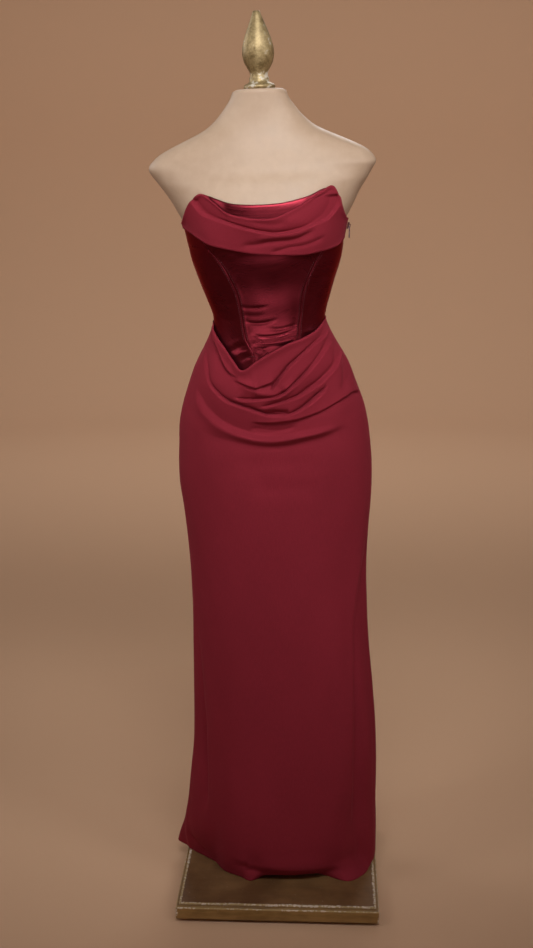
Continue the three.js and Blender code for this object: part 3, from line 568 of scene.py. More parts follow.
hipFolds = [
    # the narrow strip down the left arm of the V
    lip(2.6, 4, 7, 13, (5, 16), groove=1.5, startAt=0.5, line=[(211.5, 326), (213.4, 338.4), (216.3, 346),
        (218.7, 352.8), (221.6, 360.4), (224.9, 367.1), (228.5, 372.4), (232.5, 375.6), (237, 377)]),
    # lower edge of the broad band along the V, down to its point and up again
    lip(2.8, 6, 13, 5, (18, 2), endAt=0.6, line=[(233, 380.8), (238.8, 382.8), (243.6, 384.4),
        (250.5, 386.9), (256.5, 388.9)]),
    lip(2.4, 4, 13, 6, (2, 6), startAt=0.6, line=[(256.5, 388.9), (260.8, 387.2), (266.6, 385.3),
        (272.3, 383.2), (277, 380.8)]),
    lip(1.8, 6, 6, 4.5, (5, 8), proud=-1, groove=3.5, edge=1.3, endAt=0.6, strength=[(0, 1), (0.3, 1),
        (0.55, 0.6), (0.85, 0.6), (1, 1)], line=[(271.5, 391), (275.5, 385), (279, 380), (284.4, 372.8),
        (289.1, 367.1), (297.8, 359.4), (308.3, 349.9), (315.9, 343.2), (321.7, 338.4), (325.5, 334.6),
        (329.3, 326.9)]),
    trough(4, 4, 4, (5, 5), line=[(273.5, 385.2), (276, 382.6), (278.5, 380.2)]),
    # second band: a rounded crest and the hollow under it on the left, a crisp edge on the right
    ridge(3.6, 8, 8, (16, 18), line=[(236, 382.5), (247.4, 387.4), (257, 391.8), (262.7, 394.4),
        (271.3, 395.8), (279, 394.3), (287, 389.5), (297, 380)]),
    lip(1.6, 5.5, 8, 11, (12, 6), proud=-1, groove=1.5, edge=1.3, line=[(233, 398.6), (243, 400.6),
        (252, 400.6), (262, 399.9), (272, 398.6), (280, 396.2), (287, 391.6)]),
    lip(1.8, 5, 8, 6, (16, 10), proud=-1, groove=4.5, endAt=0.6, edge=1.3, strength=[(0, 0.7), (0.3, 0.8),
        (0.6, 0.7), (1, 0.9)], line=[(276, 397.6), (284.4, 393), (292, 387.2), (299.7, 380.5),
        (308.3, 371.9), (315, 364.2), (320.7, 356.6), (324.5, 350.8), (328.4, 345.1), (332.2, 339.4),
        (335, 333)]),
    # third band, from the side seam down to a soft end at the middle
    lip(2.2, 6.5, 8, 8, (16, 8), proud=-1, groove=4.5, endAt=0.6, edge=1.3, strength=[(0, 0.45),
        (0.3, 0.6), (0.45, 1.15), (0.62, 0.9), (0.8, 0.7), (1, 1)], line=[(258, 408.2), (266, 407.2),
        (275, 404.6), (290, 400), (299, 396.8), (308.3, 391), (315.9, 386.2), (321.7, 381.5),
        (326.5, 376.7), (331.2, 371.9), (336, 365.2), (338.9, 357.5), (340.8, 349.9), (340.5, 344),
        (337.5, 336)]),
    # the long lower edge that starts high at the left
    lip(1.8, 5.5, 16, 5, (14, 10), proud=-1, groove=4, edge=1.3, startAt=0.5, strength=[(0, 0.7),
        (0.15, 0.35), (0.3, 0.6), (0.42, 1), (0.6, 1), (0.68, 0.6), (0.78, 0.8), (0.9, 1.2), (1, 0.5)],
        line=[(206.3, 343), (205.4, 353), (205.4, 363), (206.3, 372.8), (208.2, 381), (212, 388.3),
        (216.8, 393.9), (222.5, 399.2), (228.3, 402.7), (235.9, 405.4), (243.6, 407.8), (251.2, 410.3),
        (258.9, 413.1), (265.6, 415), (273, 415.8), (281, 415.9), (289, 415.3), (294, 413.6),
        (299.7, 410.6), (305.4, 406.8), (312.1, 401.6), (317.8, 396.6), (323.6, 391.5), (327.5, 385.5)]),
    trough(4.5, 3.2, 2.4, (6, 3), power=1.2, line=[(266, 413), (276, 412.5), (289, 412.7)]),
    # fourth edge, from the right side seam
    lip(2.2, 5, 8, 7, (22, 10), endAt=0.6, strength=[(0, 1), (0.3, 1), (0.6, 0.75), (1, 0.8)],
        line=[(250, 422.6), (262, 423.7), (270, 423.8), (279.6, 423.2), (287.2, 422.1), (296.8, 420.2),
        (306.4, 417.3), (315, 414), (323.6, 410.2), (332.2, 405.4), (339.9, 400.6), (346.6, 396.3),
        (353.3, 392), (361, 390.5)]),
    trough(3.2, 7, 4, (10, 12), power=1.5, line=[(248, 428.5), (258, 431.4), (270, 432.8), (280, 432),
        (289, 429.8), (298, 426.5)]),
    # long shadowed hollow above a soft crest, and the deep soft trough under it
    trough(6, 24, 4.5, (26, 26), power=1.3, strength=[(0, 0.3), (0.3, 0.75), (0.6, 0.95), (0.8, 0.7),
        (1, 0.4)], line=[(196.5, 381), (198.2, 391), (201.5, 399.5), (205.5, 407.3), (210.7, 413.2),
        (216, 418.4), (223.5, 423.4), (232, 427.6), (241, 431), (251, 434.2), (261, 436.2), (271.3, 437),
        (284.4, 435.6), (298.7, 432.6), (313, 429.6), (326, 426)]),
    ridge(4.2, 5, 9, (26, 26), strength=[(0, 0.15), (0.3, 0.55), (0.55, 0.9), (1, 1)], line=[(193.8, 384),
        (195.4, 393), (199, 402.5), (203, 410), (208.8, 417), (214.6, 422.7), (222, 427.4),
        (230.6, 431.5), (240, 435.3), (249.5, 438.4), (259, 440.4), (271.3, 441.3), (284.4, 440),
        (298.7, 437), (313.1, 434), (326, 430.4), (340, 427)]),
    trough(5.4, 10, 24, (30, 16), power=1.7, strength=[(0, 0.3), (0.3, 0.55), (0.6, 0.85), (0.85, 0.7),
        (1, 0.5)], line=[(193, 427), (204.4, 433.1), (213.9, 437.9), (228.3, 441.9), (242.6, 445),
        (257, 446.6), (271.3, 447.4), (284.4, 446.4), (298.7, 443.9), (311.1, 440.8), (323.6, 437.9),
        (335.1, 434.4), (342.7, 431.2), (351, 427.5)]),
    trough(3.6, 7, 13, (24, 20), line=[(226, 461), (245, 463), (270, 463.8), (293.9, 462.8),
        (313.1, 460.9), (326, 459)]),
    trough(2.2, 8, 11, (18, 18), line=[(250, 485), (270, 486.6), (300, 487), (326, 484.6)]),
    trough(2.6, 7, 7, (10, 10), line=[(345.5, 352), (347.3, 366), (346, 380), (343.5, 393)]),
    # long folds down both sides of the skirt
    trough(5.5, 5, 6, (50, 20), power=1.2, strength=[(0, 0.3), (0.4, 0.7), (0.7, 1), (1, 0.7)],
        line=[(194.5, 612), (197.6, 638.9), (199.7, 670.5), (201.2, 697.8), (202.5, 723.1),
        (203.3, 754.6), (204.2, 785), (205, 812)]),
    lip(7, 9, 7, 24, (70, 30), proud=-1, edge=5, strength=[(0, 0.5), (0.35, 0.9), (0.6, 1), (0.85, 0.8),
        (1, 0.3)], line=[(366, 530), (362.8, 558), (358.8, 586.3), (355.8, 607.3), (354.6, 628.4),
        (354.2, 670.5), (354.2, 733.6), (353.4, 790), (351, 832)]),
    # the bend over the left corner of the hem
    trough(3.2, 4, 4.5, (8, 14), power=1.4, line=[(181, 826), (186, 832), (192, 838.5), (198, 844.5),
        (205, 851), (212, 856)]),
    # where the front breaks over the base, behind the two flares of the hem
    lip(1.5, 4, 9, 7, (14, 14), strength=[(0, 0.8), (0.3, 1), (0.7, 1), (1, 0.8)], line=[(229, 858),
        (242.7, 864), (251.8, 867.6), (267.1, 870.5), (282.5, 872.5), (302.4, 873), (319.2, 871.4),
        (331.4, 869), (343.7, 867), (354, 864)]),
]
# heights near the floor, then rows of an angle and how far the face stands out there at each
# height but the last, where it doesn't
hemHeights = (36, 44, 58, 100, 300, 640)
hemRows = [
    (-84, -26, -22, -16, -5, 0), (-77, -34, -31, -24, -11, -3), (-62, -44, -41, -34, -18, -7),
    (-45, -41, -38, -32, -18, -4), (-30, -19, -17, -13, -6, 2), (-18, -8, -6, -3, -1, 2),
    (-11, 3, 2, -2, 2, 2), (-4, -24, -8, 0, 4, 2), (8, -32, -6, 3, 4, 2), (22, -28, -6, 3, 5, 3),
    (31, -8, -2, 1, 6, 4), (38, 27, 20, 9, 7, 6), (49, 25, 17, 6, 0, 0), (56, 18, 10, 0, -3, -2),
    (66, 8, 8, 7, 4, 2), (84, 1, 1, 1, 1, 0),
]


def hemMove(angle, z):
    x = np.array(hemHeights, float)
    moves = [along(hemRows, angle, k + 1) for k in range(len(x) - 1)]
    y = np.stack(np.broadcast_arrays(*moves, np.zeros_like(z)))
    slope = np.gradient(y, x, axis=0)
    i, t, span = stretchAt(x, z)
    n = np.arange(len(z))
    return between(t, span, y[i, n], y[i + 1, n], slope[i, n], slope[i + 1, n])


def skirtFrontPlace(s, t):
    angle = mix(-skirt["seam"], skirt["seam"], s)
    cos2 = np.cos(np.radians(angle)) ** 2
    level, top = along(cowlLevel, angle), along(skirtTop, angle)
    split = skirt["lowRows"]
    z = np.where(t < split, mix(skirt["hem"], level, (t / split) ** skirt["lowCrowd"]),
                 mix(level, top, (t - split) / (1 - split)))
    drop = (top - z) / np.hypot(1, slopeAt(skirtTop, angle))
    edge = smooth((skirt["seam"] + 0.1 - np.abs(angle)) / skirt["seamFade"] + 0.02)
    hem = hemMove(angle, z)
    plain = skirt["full"] + skirt["fuller"] * rise(z, *skirt["fullerFrom"])
    plain = plain * rise(z, *skirt["fullFrom"]) * cos2
    spots = frameSpot(section(angle, z, plain * edge + hem))
    move = plain + skirt["relief"] * foldsSeen(hipFolds, spots) + unevenness(angle, z, *skirt["wave"])
    high, wide = skirt["roll"]
    dip, narrow = skirt["rollEdge"]
    move += high * bell(drop, wide) * cos2 - dip * bell(drop, narrow)
    clear = np.where(z > skirt["overBodice"], *skirt["clear"]) - easeAt(angle, z)
    least = mix(skirt["deepest"], clear, rise(z, *skirt["keptFrom"]))
    return section(angle, z, np.maximum(move, least) * edge + hem)


backFolds = [
    trough(2.4, 14, 20, 14, line=[(110, 1010), (140, 985), (180, 975), (215, 986), (250, 1015)]),
    trough(1.8, 12, 18, 14, line=[(125, 905), (160, 890), (200, 888), (235, 902)]),
    trough(1.8, 10, 14, 12, line=[(130, 1085), (165, 1078), (200, 1079), (232, 1086)]),
]


def skirtBackPlace(s, t):
    angle = mix(backSkirt["from"], backSkirt["to"], s)
    seam = figure["sideSeam"]
    level = mix(along(cowlLevel, seam), along(cowlLevel, -seam), s)
    split = backSkirt["lowRows"]
    z = np.where(t < split, mix(skirt["hem"], level, (t / split) ** backSkirt["lowCrowd"]),
                 mix(level, backSkirt["waist"], (t - split) / (1 - split)))
    wave = np.sin(np.pi * s) * np.cos(2 * np.pi * backSkirt["flutes"] * s + 0.5 * np.sin(7 * s))
    corners = 0
    for side in ("right", "left"):
        at, wide = backSkirt[side + "At"]
        corner = backSkirt[side + "Corner"] * bell(angle - at, wide)
        corners = corners + corner * fall(z, *backSkirt[side + "From"])
    edge = (hemMove(np.full_like(z, seam), z) * (1 - s)
            + hemMove(np.full_like(z, -seam), z) * rise(angle, *backSkirt["endsAt"]))
    soft = foldsRound(backFolds, angle, z) + unevenness(angle, z, *backSkirt["wave"])
    move = edge + corners * fall(angle, *backSkirt["cornerEnds"])
    move = move + backSkirt["fluteDeep"] * wave * fall(z, *backSkirt["fluteFrom"])
    return section(angle, z, move + np.sin(np.pi * s) ** 0.5 * soft)


skirtFront = clothPiece("skirtFront", skirt["across"], skirt["up"], skirtFrontPlace, skirt["flat"],
                        paints["crepe"], skirt["thick"])
dress(skirtFront, "skirt_front")
skirtBack = clothPiece("skirtBack", backSkirt["across"], backSkirt["up"], skirtBackPlace,
                       backSkirt["flat"], paints["crepe"], skirt["thick"])
dress(skirtBack, "skirt_back")
print("skirt made")

neck = {"across": 250, "up": 90, "flat": (0.36, 0.105), "thick": 1.1, "relief": 1.4, "seam": 83.9,
        "full": 3.5, "sag": 5, "sagAt": (3, 24), "sagFrom": (1255, 35), "wave": (0.2, 0.6),
        "topRoll": (2, 6), "topEdge": (2.0, 1.8), "lowRoll": (1.2, 5), "lowEdge": (1.0, 1.6),
        "endPull": 5.0, "endFrom": (66, 16), "clear": 4.0}
drapeTop = [(-90, 1290), (-75, 1292), (-66, 1296), (-57, 1306), (-51, 1315), (-41, 1330), (-31, 1341),
            (-25, 1327), (-18, 1308), (-5, 1297), (2, 1295), (8, 1299), (20, 1317), (28, 1331),
            (37, 1346), (46, 1330), (53, 1312), (64, 1296), (75, 1289), (90, 1286)]
drapeLow = [(-90, 1278), (-72, 1282), (-55, 1273), (-44, 1263), (-35, 1254), (-26, 1248), (-11, 1239),
            (0, 1234), (22, 1230), (38, 1234), (59, 1240), (69, 1246), (90, 1256)]
neckFolds = [
    lip(2, 7.5, 9, 15, (4, 4), proud=-1, groove=3.5, startAt=0.5, endAt=0.5, edge=1.3, strength=[(0, 0.8),
        (0.2, 0.8), (0.5, 1), (0.75, 0.85), (0.9, 1.1), (1, 1.1)], line=[(192.3, 200.5), (195.7, 206.1),
        (199.7, 211.3), (204.8, 215.3), (212.9, 218.8), (220.9, 221.6), (230.1, 224.5), (239.3, 227.4),
        (248.5, 229.9), (257.7, 232), (266.8, 233.3), (274.9, 234), (282.9, 233.3), (290.9, 232),
        (299, 229.9), (307, 227.6), (315, 223.9), (323.1, 220.5), (328.8, 216.5), (333.4, 211.3),
        (336.9, 206.1), (338.6, 201), (338.8, 195.5)]),
    lip(1.4, 4.5, 6, 6, (5, 7), proud=-1, groove=3.5, startAt=0.4, edge=1.2, line=[(204, 195.5),
        (210.6, 199.2), (215.2, 202.7), (219.8, 206.7), (223.2, 210.1), (227.8, 212.8), (234, 214.3)]),
    trough(3, 5, 7, (12, 12), power=1.6, line=[(240, 246), (257.7, 244.4), (266.8, 242.4), (278.3, 240.9),
        (289.8, 240), (299, 237.7), (307, 234.3), (316, 230)]),
    trough(2, 4, 5, (8, 12), power=1.6, line=[(270, 253.5), (281.8, 249.7), (290.9, 247.2), (299, 246.3),
        (307, 244.6), (317.3, 240.6), (327, 235.5)]),
    ridge(1.6, 5, 5, (12, 12), line=[(255, 239), (275, 238), (295, 235.5), (310, 230.5)]),
    trough(1.6, 6, 6, (10, 10), line=[(248, 221.5), (262, 224), (276, 224.6), (290, 222)]),
    trough(1, 2, 1.4, (6, 6), power=1.2, line=[(312, 199.6), (323.1, 195.2), (332.3, 188.6)]),
]


def edgeRoll(gap, roll, edge):  # a turned edge swells a little and then dips at its very rim
    return roll[0] * bell(gap, roll[1]) - edge[0] * bell(gap, edge[1])


def neckPlace(s, t):
    angle = mix(-neck["seam"], neck["seam"], s)
    top, low = along(drapeTop, angle), along(drapeLow, angle)
    z = mix(low, top, t)
    middle, wide = neck["sagAt"]
    sag = neck["sag"] * bell(angle - middle, wide) * rise(z, *neck["sagFrom"])
    plain = 1 + neck["full"] * np.cos(np.radians(angle)) ** 2 + sag
    spots = frameSpot(section(angle, z, plain))
    move = plain + neck["relief"] * foldsSeen(neckFolds, spots) + unevenness(angle, z, *neck["wave"])
    move += edgeRoll(top - z, neck["topRoll"], neck["topEdge"])
    move += edgeRoll(z - low, neck["lowRoll"], neck["lowEdge"])
    ends = rise(np.abs(angle), *neck["endFrom"])
    return section(angle, z, np.maximum(move - neck["endPull"] * ends, neck["clear"] - easeAt(angle, z)))


neckDrape = clothPiece("neckDrape", neck["across"], neck["up"], neckPlace, neck["flat"], paints["crepe"],
                       neck["thick"])
dress(neckDrape, "neck_drape")
print("neck drape made")

bodice = {"turn": 4, "outside": 2.1, "seamTrim": -0.1, "thick": 1.1, "tall": 0.28, "relief": 0.8,
          "perDegree": 1.9, "seamDip": 0.5, "seamWide": 1.2, "sideWide": 1.1,
          "boneRise": 0.2, "boneWide": 2, "boneAside": 5, "backBoneAside": 6,
          "seamRidge": 4.6, "seamRidgeWide": 16, "panelDip": 1.2, "dipWide": 0.6, "flatBelow": (1228, 40),
          "bulge": 2.6, "bulgeHeight": 1122, "bulgeTall": 34, "bulgeWide": 0.85, "wave": (0.12, 2.9),
          "kept": (-1.5, 6.5), "calmAbove": 1250, "calm": 0.3, "topFlare": 4.2, "flareFrom": (1284, 44),
          "flareMiddle": 3, "flareReach": (31, 12), "rimDip": (0.5, 1.5)}
satinLow = [(-90, 1092), (-61, 1080), (-46, 1066), (-36, 1052), (-26, 1036), (-16, 1022), (-6, 1034),
            (2, 1047), (14, 1060), (26, 1068), (46, 1078), (66, 1086), (90, 1092), (270, 1092)]
satinTop = [(-90, 1280), (-66, 1288), (-57, 1299), (-51, 1309), (-41, 1324), (-31, 1337), (-24, 1331),
            (-14, 1322), (0, 1319), (12, 1322), (25, 1331), (37, 1342), (46, 1326), (53, 1307),
            (64, 1291), (90, 1280), (135, 1266), (180, 1260), (225, 1266), (270, 1280)]
princessSeam = [(1010, 13), (1060, 15), (1083, 22), (1117, 26), (1165, 26), (1205, 31), (1236, 39),
                (1262, 48), (1290, 48), (1345, 46)]
backSeam = [(1010, 26), (1110, 26), (1200, 30), (1300, 30)]
satinFolds = [
    trough(1.3, 2.4, 3.4, (7, 16), line=[(239, 305.6), (247, 307.6), (257, 307.8), (270, 305.8)]),
    trough(0.7, 3, 3.4, (8, 16), line=[(243, 314.6), (253, 315.8), (266, 314.2)]),
    trough(1.5, 2.6, 3.4, (8, 18), line=[(245, 320.6), (254, 323.2), (265, 322.6), (279, 318.6)]),
    trough(1, 3, 3.6, (14, 10), line=[(265, 328.6), (279, 329.2), (291, 326.2), (299, 322.4)]),
    trough(1.9, 2.8, 2.6, (12, 12), line=[(251, 334), (262, 337), (275, 336.2), (287, 332.8),
        (297, 328.4)]),
    ridge(1.5, 3.6, 3, (10, 10), line=[(250, 342.4), (265, 343.4), (281, 341.6), (298, 336.8)]),
    trough(2.1, 2.6, 8, (10, 12), line=[(251, 347.6), (264, 349), (279, 347.2), (293, 342.4)]),
    ridge(1.9, 3, 3, (7, 7), line=[(226, 349.4), (233, 344), (242, 338.4)]),
    trough(2, 3, 3, (7, 8), line=[(229, 353.4), (237, 347.8), (249, 343.6)]),
    ridge(1.9, 3, 3, (7, 8), line=[(233, 358.6), (241, 353.4), (252, 350.6)]),
    trough(1.3, 2.4, 2.4, (6, 8), line=[(239, 362), (247, 357.6), (258, 356.8)]),
    # the fullness below the ends of the drape
    ridge(3.2, 7, 4, (6, 8), line=[(181, 238.6), (190, 243.6), (200, 247.4)]),
    ridge(1.5, 5, 3.5, (6, 14), line=[(206, 252.4), (215, 255.2), (227, 256.6), (240, 257.4)]),
    ridge(1.5, 3, 4, (6, 6), line=[(326, 267), (332, 269.5), (338, 272.4)]),
    trough(1.4, 3, 4, (8, 6), line=[(318, 277.8), (327, 276), (336, 277.4)]),
    trough(1, 4, 5, (10, 12), line=[(213, 299), (225, 303.6), (238, 303)]),
    trough(1, 4, 4, (9, 12), line=[(215, 316.6), (228, 320.8), (241, 319.6)]),
    ridge(1.4, 3, 3, (8, 8), line=[(299, 332), (309, 330.4), (320, 326)]),
]
satinHidden = [
    trough(1, 6, 8, 10, line=[(100, 1150), (130, 1142), (160, 1140)]),
    trough(1, 6, 8, 10, line=[(200, 1143), (230, 1140), (262, 1150)]),
    trough(1.2, 5, 7, 10, line=[(150, 1120), (180, 1116), (212, 1121)]),
    ridge(0.9, 5, 6, 10, line=[(120, 1128), (150, 1130), (185, 1127), (230, 1131)]),
]


def satinMove(angle, z):
    move = unevenness(angle, z, *bodice["wave"])
    if angle.max() < 100:  # a front panel
        spots = frameSpot(section(angle, z, bodice["outside"], 1.0))
        move += bodice["relief"] * foldsSeen(satinFolds, spots)
    else:
        move += foldsRound(satinHidden, angle, z, bodice["perDegree"])
    dip, bone, wide, perDegree = (bodice[key] for key in ("seamDip", "boneRise", "boneWide", "perDegree"))
    turned = np.abs(angle - bodice["turn"])
    reach = along(princessSeam, z)
    flatter = fall(z, *bodice["flatBelow"])
    apart = (turned - reach) * perDegree
    # the boned front is flat from seam to seam and turns away beyond them
    lift = np.where(turned < reach, (turned / reach) ** 2, bell(apart, bodice["seamRidgeWide"]))
    sunk = bodice["panelDip"] * bell(turned / reach, bodice["dipWide"])
    move += flatter * (bodice["seamRidge"] * lift - sunk)
    bulge = flatter * bodice["bulge"] * bell(z - bodice["bulgeHeight"], bodice["bulgeTall"])
    move += bulge * bell(turned / reach, bodice["bulgeWide"])
    aside = bodice["boneAside"]
    move += (bone * (bell(apart - aside, wide) + bell(apart + aside, wide))
             - dip * bell(apart, bodice["seamWide"]))
    behind = along(backSeam, z)
    around = np.minimum(np.abs(angle - 180 - behind), np.abs(angle - 180 + behind)) * perDegree
    move += bone * bell(around - bodice["backBoneAside"], wide) - dip * bell(around, bodice["sideWide"])
    seam = figure["sideSeam"]
    sides = np.minimum(np.abs(np.abs(angle) - seam), np.abs(angle - (360 - seam))) * perDegree
    return move - dip * bell(sides, bodice["sideWide"])


def satinFace(angle, z, lift=0.0):
    calm = np.where(z > bodice["calmAbove"], bodice["calm"], 1.0)
    out = np.clip(satinMove(angle, z), *bodice["kept"]) * calm
    flare = bodice["topFlare"] * rise(z, *bodice["flareFrom"])
    out += flare * fall(np.abs(angle - bodice["flareMiddle"]), *bodice["flareReach"])
    return section(angle, z, bodice["outside"] + out + lift, 1.0)


def seamAngle(seam, z, trim=0.0):  # a seam is one angle, or the middle, side and rows of a curved one
    if isinstance(seam, tuple):
        middle, side, rows = seam
        return middle + side * along(rows, z) + trim
    return np.full_like(np.asarray(z, float), seam) + trim


def bodicePanel(name, node, left, right, across, up, width):
    def place(s, t):
        low = along(satinLow, mix(seamAngle(left, 1060.0), seamAngle(right, 1060.0), s))
        top = along(satinTop, mix(seamAngle(left, 1300.0), seamAngle(right, 1300.0), s))
        z = mix(low, top, t)
        angle = mix(seamAngle(left, z, bodice["seamTrim"]), seamAngle(right, z, -bodice["seamTrim"]), s)
        dip, wide = bodice["rimDip"]
        return satinFace(angle, z, -dip * bell(top - z, wide))

    piece = clothPiece(name, across, up, place, (width, bodice["tall"]), paints["satin"], bodice["thick"])
    dress(piece, node)


princess = {side: (bodice["turn"], side, princessSeam) for side in (-1, 1)}
backLine = {side: (180, side, backSeam) for side in (-1, 1)}
leftSeam, rightSeam, rightFromBehind = figure["sideSeam"], -figure["sideSeam"], 360 - figure["sideSeam"]
bodicePanel("bodiceCentreFront", "bodice_centre_front", princess[-1], princess[1], 100, 170, 0.19)
bodicePanel("bodiceSideFrontRight", "bodice_side_front_right", rightSeam, princess[-1], 60, 130, 0.13)
bodicePanel("bodiceSideFrontLeft", "bodice_side_front_left", princess[1], leftSeam, 60, 130, 0.13)
bodicePanel("bodiceSideBackLeft", "bodice_side_back_left", leftSeam, backLine[-1], 50, 90, 0.15)
bodicePanel("bodiceCentreBack", "bodice_centre_back", backLine[-1], backLine[1], 60, 90, 0.13)
bodicePanel("bodiceSideBackRight", "bodice_side_back_right", backLine[1], rightFromBehind, 50, 90, 0.15)
print("bodice made")

sewing = {"pitch": 3.6, "stitch": (2.3, 0.5, 0.3), "aside": 1.9, "proud": 0.12, "frontRun": (1086, 1240),
          "backRun": (1118, 1258), "arcMiddle": (-12, 1043), "arcSize": (7, 12), "arcTurn": (0.1, 3.0),
          "arcStitches": 14, "toothPitch": 2.0, "tooth": (1.1, 2.6, 1.0), "toothEdge": 0.25,
          "zipAngle": 84.6, "zipFrom": 1122, "zipTo": 1268}


def stitchRow(shape, angle, z, size):  # one small block for each step along a line on the satin
    spots, outer = satinFace(angle, z, sewing["proud"]), satinFace(angle, z, sewing["proud"] + 1)
    for k in range(len(spots) - 1):
        run = Vector(spots[k + 1] - spots[k]).normalized()
        away = Vector(outer[k] - spots[k])
        away = (away - away.dot(run) * run).normalized()
        turn = Matrix((run, away.cross(run), away)).transposed().to_4x4()
        stretch = Matrix.Diagonal((*[side * mm for side in size], 1))
        place = Matrix.Translation(Vector(spots[k]) * mm)
        bmesh.ops.create_cube(shape, size=1, matrix=place @ turn @ stretch)


def sewnPiece(name, shape, paint):
    piece = addPiece(name, shape, paints[paint])
    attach(piece, "gown_on_form")


def stitching():
    shape = bmesh.new()
    front = np.arange(*sewing["frontRun"], sewing["pitch"])
    behind = np.arange(*sewing["backRun"], sewing["pitch"])
    for side in (-1, 1):
        for aside in (-sewing["aside"], sewing["aside"]):
            stitchRow(shape, seamAngle(princess[side], front, aside), front, sewing["stitch"])
            stitchRow(shape, seamAngle(backLine[side], behind, aside), behind, sewing["stitch"])
    # the little worked arc above the point of the V
    arc = np.linspace(*sewing["arcTurn"], sewing["arcStitches"])
    (x, z), (wide, tall) = sewing["arcMiddle"], sewing["arcSize"]
    stitchRow(shape, x + wide * np.cos(arc), z + tall * np.sin(arc), sewing["stitch"])
    sewnPiece("seamStitches", shape, "thread")


def zipTeeth():
    shape = bmesh.new()
    level = np.arange(sewing["zipFrom"], sewing["zipTo"], sewing["toothPitch"])
    stitchRow(shape, np.full_like(level, sewing["zipAngle"]), level, sewing["tooth"])
    bmesh.ops.bevel(shape, geom=shape.edges[:], offset=sewing["toothEdge"] * mm, offset_type="OFFSET",
                    segments=1, profile=0.5, affect="EDGES", material=-1)
    sewnPiece("zipTeeth", shape, "slider")


stitching()
zipTeeth()
print("sewing made")

form = {"bottom": 760, "neck": 1515, "around": 144, "rows": 190, "sink": 0.8, "ends": 0.06,
        "bottomRound": (14, 11), "neckRound": (4, 4), "core": (10.0, 11.0), "coreSplit": 1200, "weld": 0.02}


def formRing(s, t):
    angle = s * 360 - 180
    ends = form["ends"]
    level = np.clip((t - ends) / (1 - 2 * ends), 0, 1)  # the outer rows close the flat ends
    z = mix(form["bottom"], form["neck"], level)
    (lowIn, lowTall), (highIn, highTall) = form["bottomRound"], form["neckRound"]
    inset = (-lowIn * np.clip(1 - (z - form["bottom"]) / lowTall, 0, 1) ** 2
             - highIn * np.clip(1 - (form["neck"] - z) / highTall, 0, 1) ** 2)
    ring = section(angle, z, inset - form["sink"], 1.0)
    shrink = np.clip(np.minimum(t, 1 - t) / ends, 0, 1)
    core = np.where(z > form["coreSplit"], form["core"][1], form["core"][0])
    centre = np.stack([faceAt("middle", z), core, z], -1)
    return centre + (ring - centre) * shrink[:, None]


def formPiece():
    shell = bmesh.new()
    bmesh.ops.create_grid(shell, x_segments=form["around"], y_segments=form["rows"], size=0.5)
    flat = np.array([vertex.co for vertex in shell.verts])
    for vertex, point in zip(shell.verts, formRing(flat[:, 0] + 0.5, flat[:, 1] + 0.5) * mm):
        vertex.co = point
    bmesh.ops.remove_doubles(shell, verts=shell.verts, dist=form["weld"] * mm)
    bmesh.ops.recalc_face_normals(shell, faces=shell.faces)
    dress(addPiece("formTorso", shell, paints["skin"]), "form_torso")


formPiece()
print("dress form made")

# the turned profile as radius and height
finial = {"profile": [(0, 0), (26, 0), (28, 1.5), (28.3, 5), (26, 8.5), (20, 11), (17.6, 14), (17.5, 19),
                      (15.6, 23), (16.2, 29), (20, 36), (25.6, 46), (28.4, 59), (27.6, 72), (24, 86),
                      (18, 102), (12.2, 116), (8.6, 125), (7, 130), (5, 132.6), (0, 133)],
          "turns": 72, "lean": -figure["lean"], "place": (-41, 9, 1515.3), "weld": 0.01}


def finialPiece():
    shape = bmesh.new()
    points = [shape.verts.new((r * mm, 0, z * mm)) for r, z in finial["profile"]]
    for a, b in zip(points, points[1:]):
        shape.edges.new((a, b))
    bmesh.ops.spin(shape, geom=shape.verts[:] + shape.edges[:], cent=(0, 0, 0), axis=(0, 0, 1),
                   angle=math.tau, steps=finial["turns"], use_merge=True)
    bmesh.ops.remove_doubles(shape, verts=shape.verts, dist=finial["weld"] * mm)
    bmesh.ops.recalc_face_normals(shape, faces=shape.faces)
    bmesh.ops.rotate(shape, cent=(0, 0, 0), matrix=Matrix.Rotation(finial["lean"], 3, "Y"), verts=shape.verts)
    bmesh.ops.translate(shape, vec=Vector(finial["place"]) * mm, verts=shape.verts)
    dress(addPiece("neckFinial", shape, paints["finial"]), "neck_finial")


finialPiece()
print("finial made")

base = {"side": 380, "bottom": 6.3, "top": 36, "slabTop": 30, "step": 7.5, "edge": 1.6, "edgeSteps": 3}


def basePiece():  # a slab with a lower step round its top
    side, slab = base["side"] * mm, (base["slabTop"] - base["bottom"]) * mm
    shape = bmesh.new()
    bmesh.ops.create_cube(shape, size=1)
    bmesh.ops.scale(shape, vec=(side, side, slab), verts=shape.verts)
    bmesh.ops.translate(shape, vec=(0, 0, (base["slabTop"] + base["bottom"]) / 2 * mm), verts=shape.verts)
    top = max(shape.faces, key=lambda face: face.calc_center_median().z)
    bmesh.ops.inset_region(shape, faces=[top], thickness=base["step"] * mm)
    raised = bmesh.ops.extrude_face_region(shape, geom=[top])
    lifted = [item for item in raised["geom"] if isinstance(item, bmesh.types.BMVert)]
    bmesh.ops.translate(shape, vec=(0, 0, (base["top"] - base["slabTop"]) * mm), verts=lifted)
    bmesh.ops.delete(shape, geom=[top], context="FACES_ONLY")
    bmesh.ops.recalc_face_normals(shape, faces=shape.faces)
    sharp = [edge for edge in shape.edges if edge.calc_face_angle(0) > 0.5]
    bmesh.ops.bevel(shape, geom=sharp, offset=base["edge"] * mm, offset_type="OFFSET",
                    segments=base["edgeSteps"], profile=0.5, affect="EDGES", material=-1)
    piece = addPiece("baseBoard", shape, paints["base"])
    for face in piece.data.polygons:
        face.use_smooth = False
    dress(piece, "base_board")


basePiece()
print("base made")


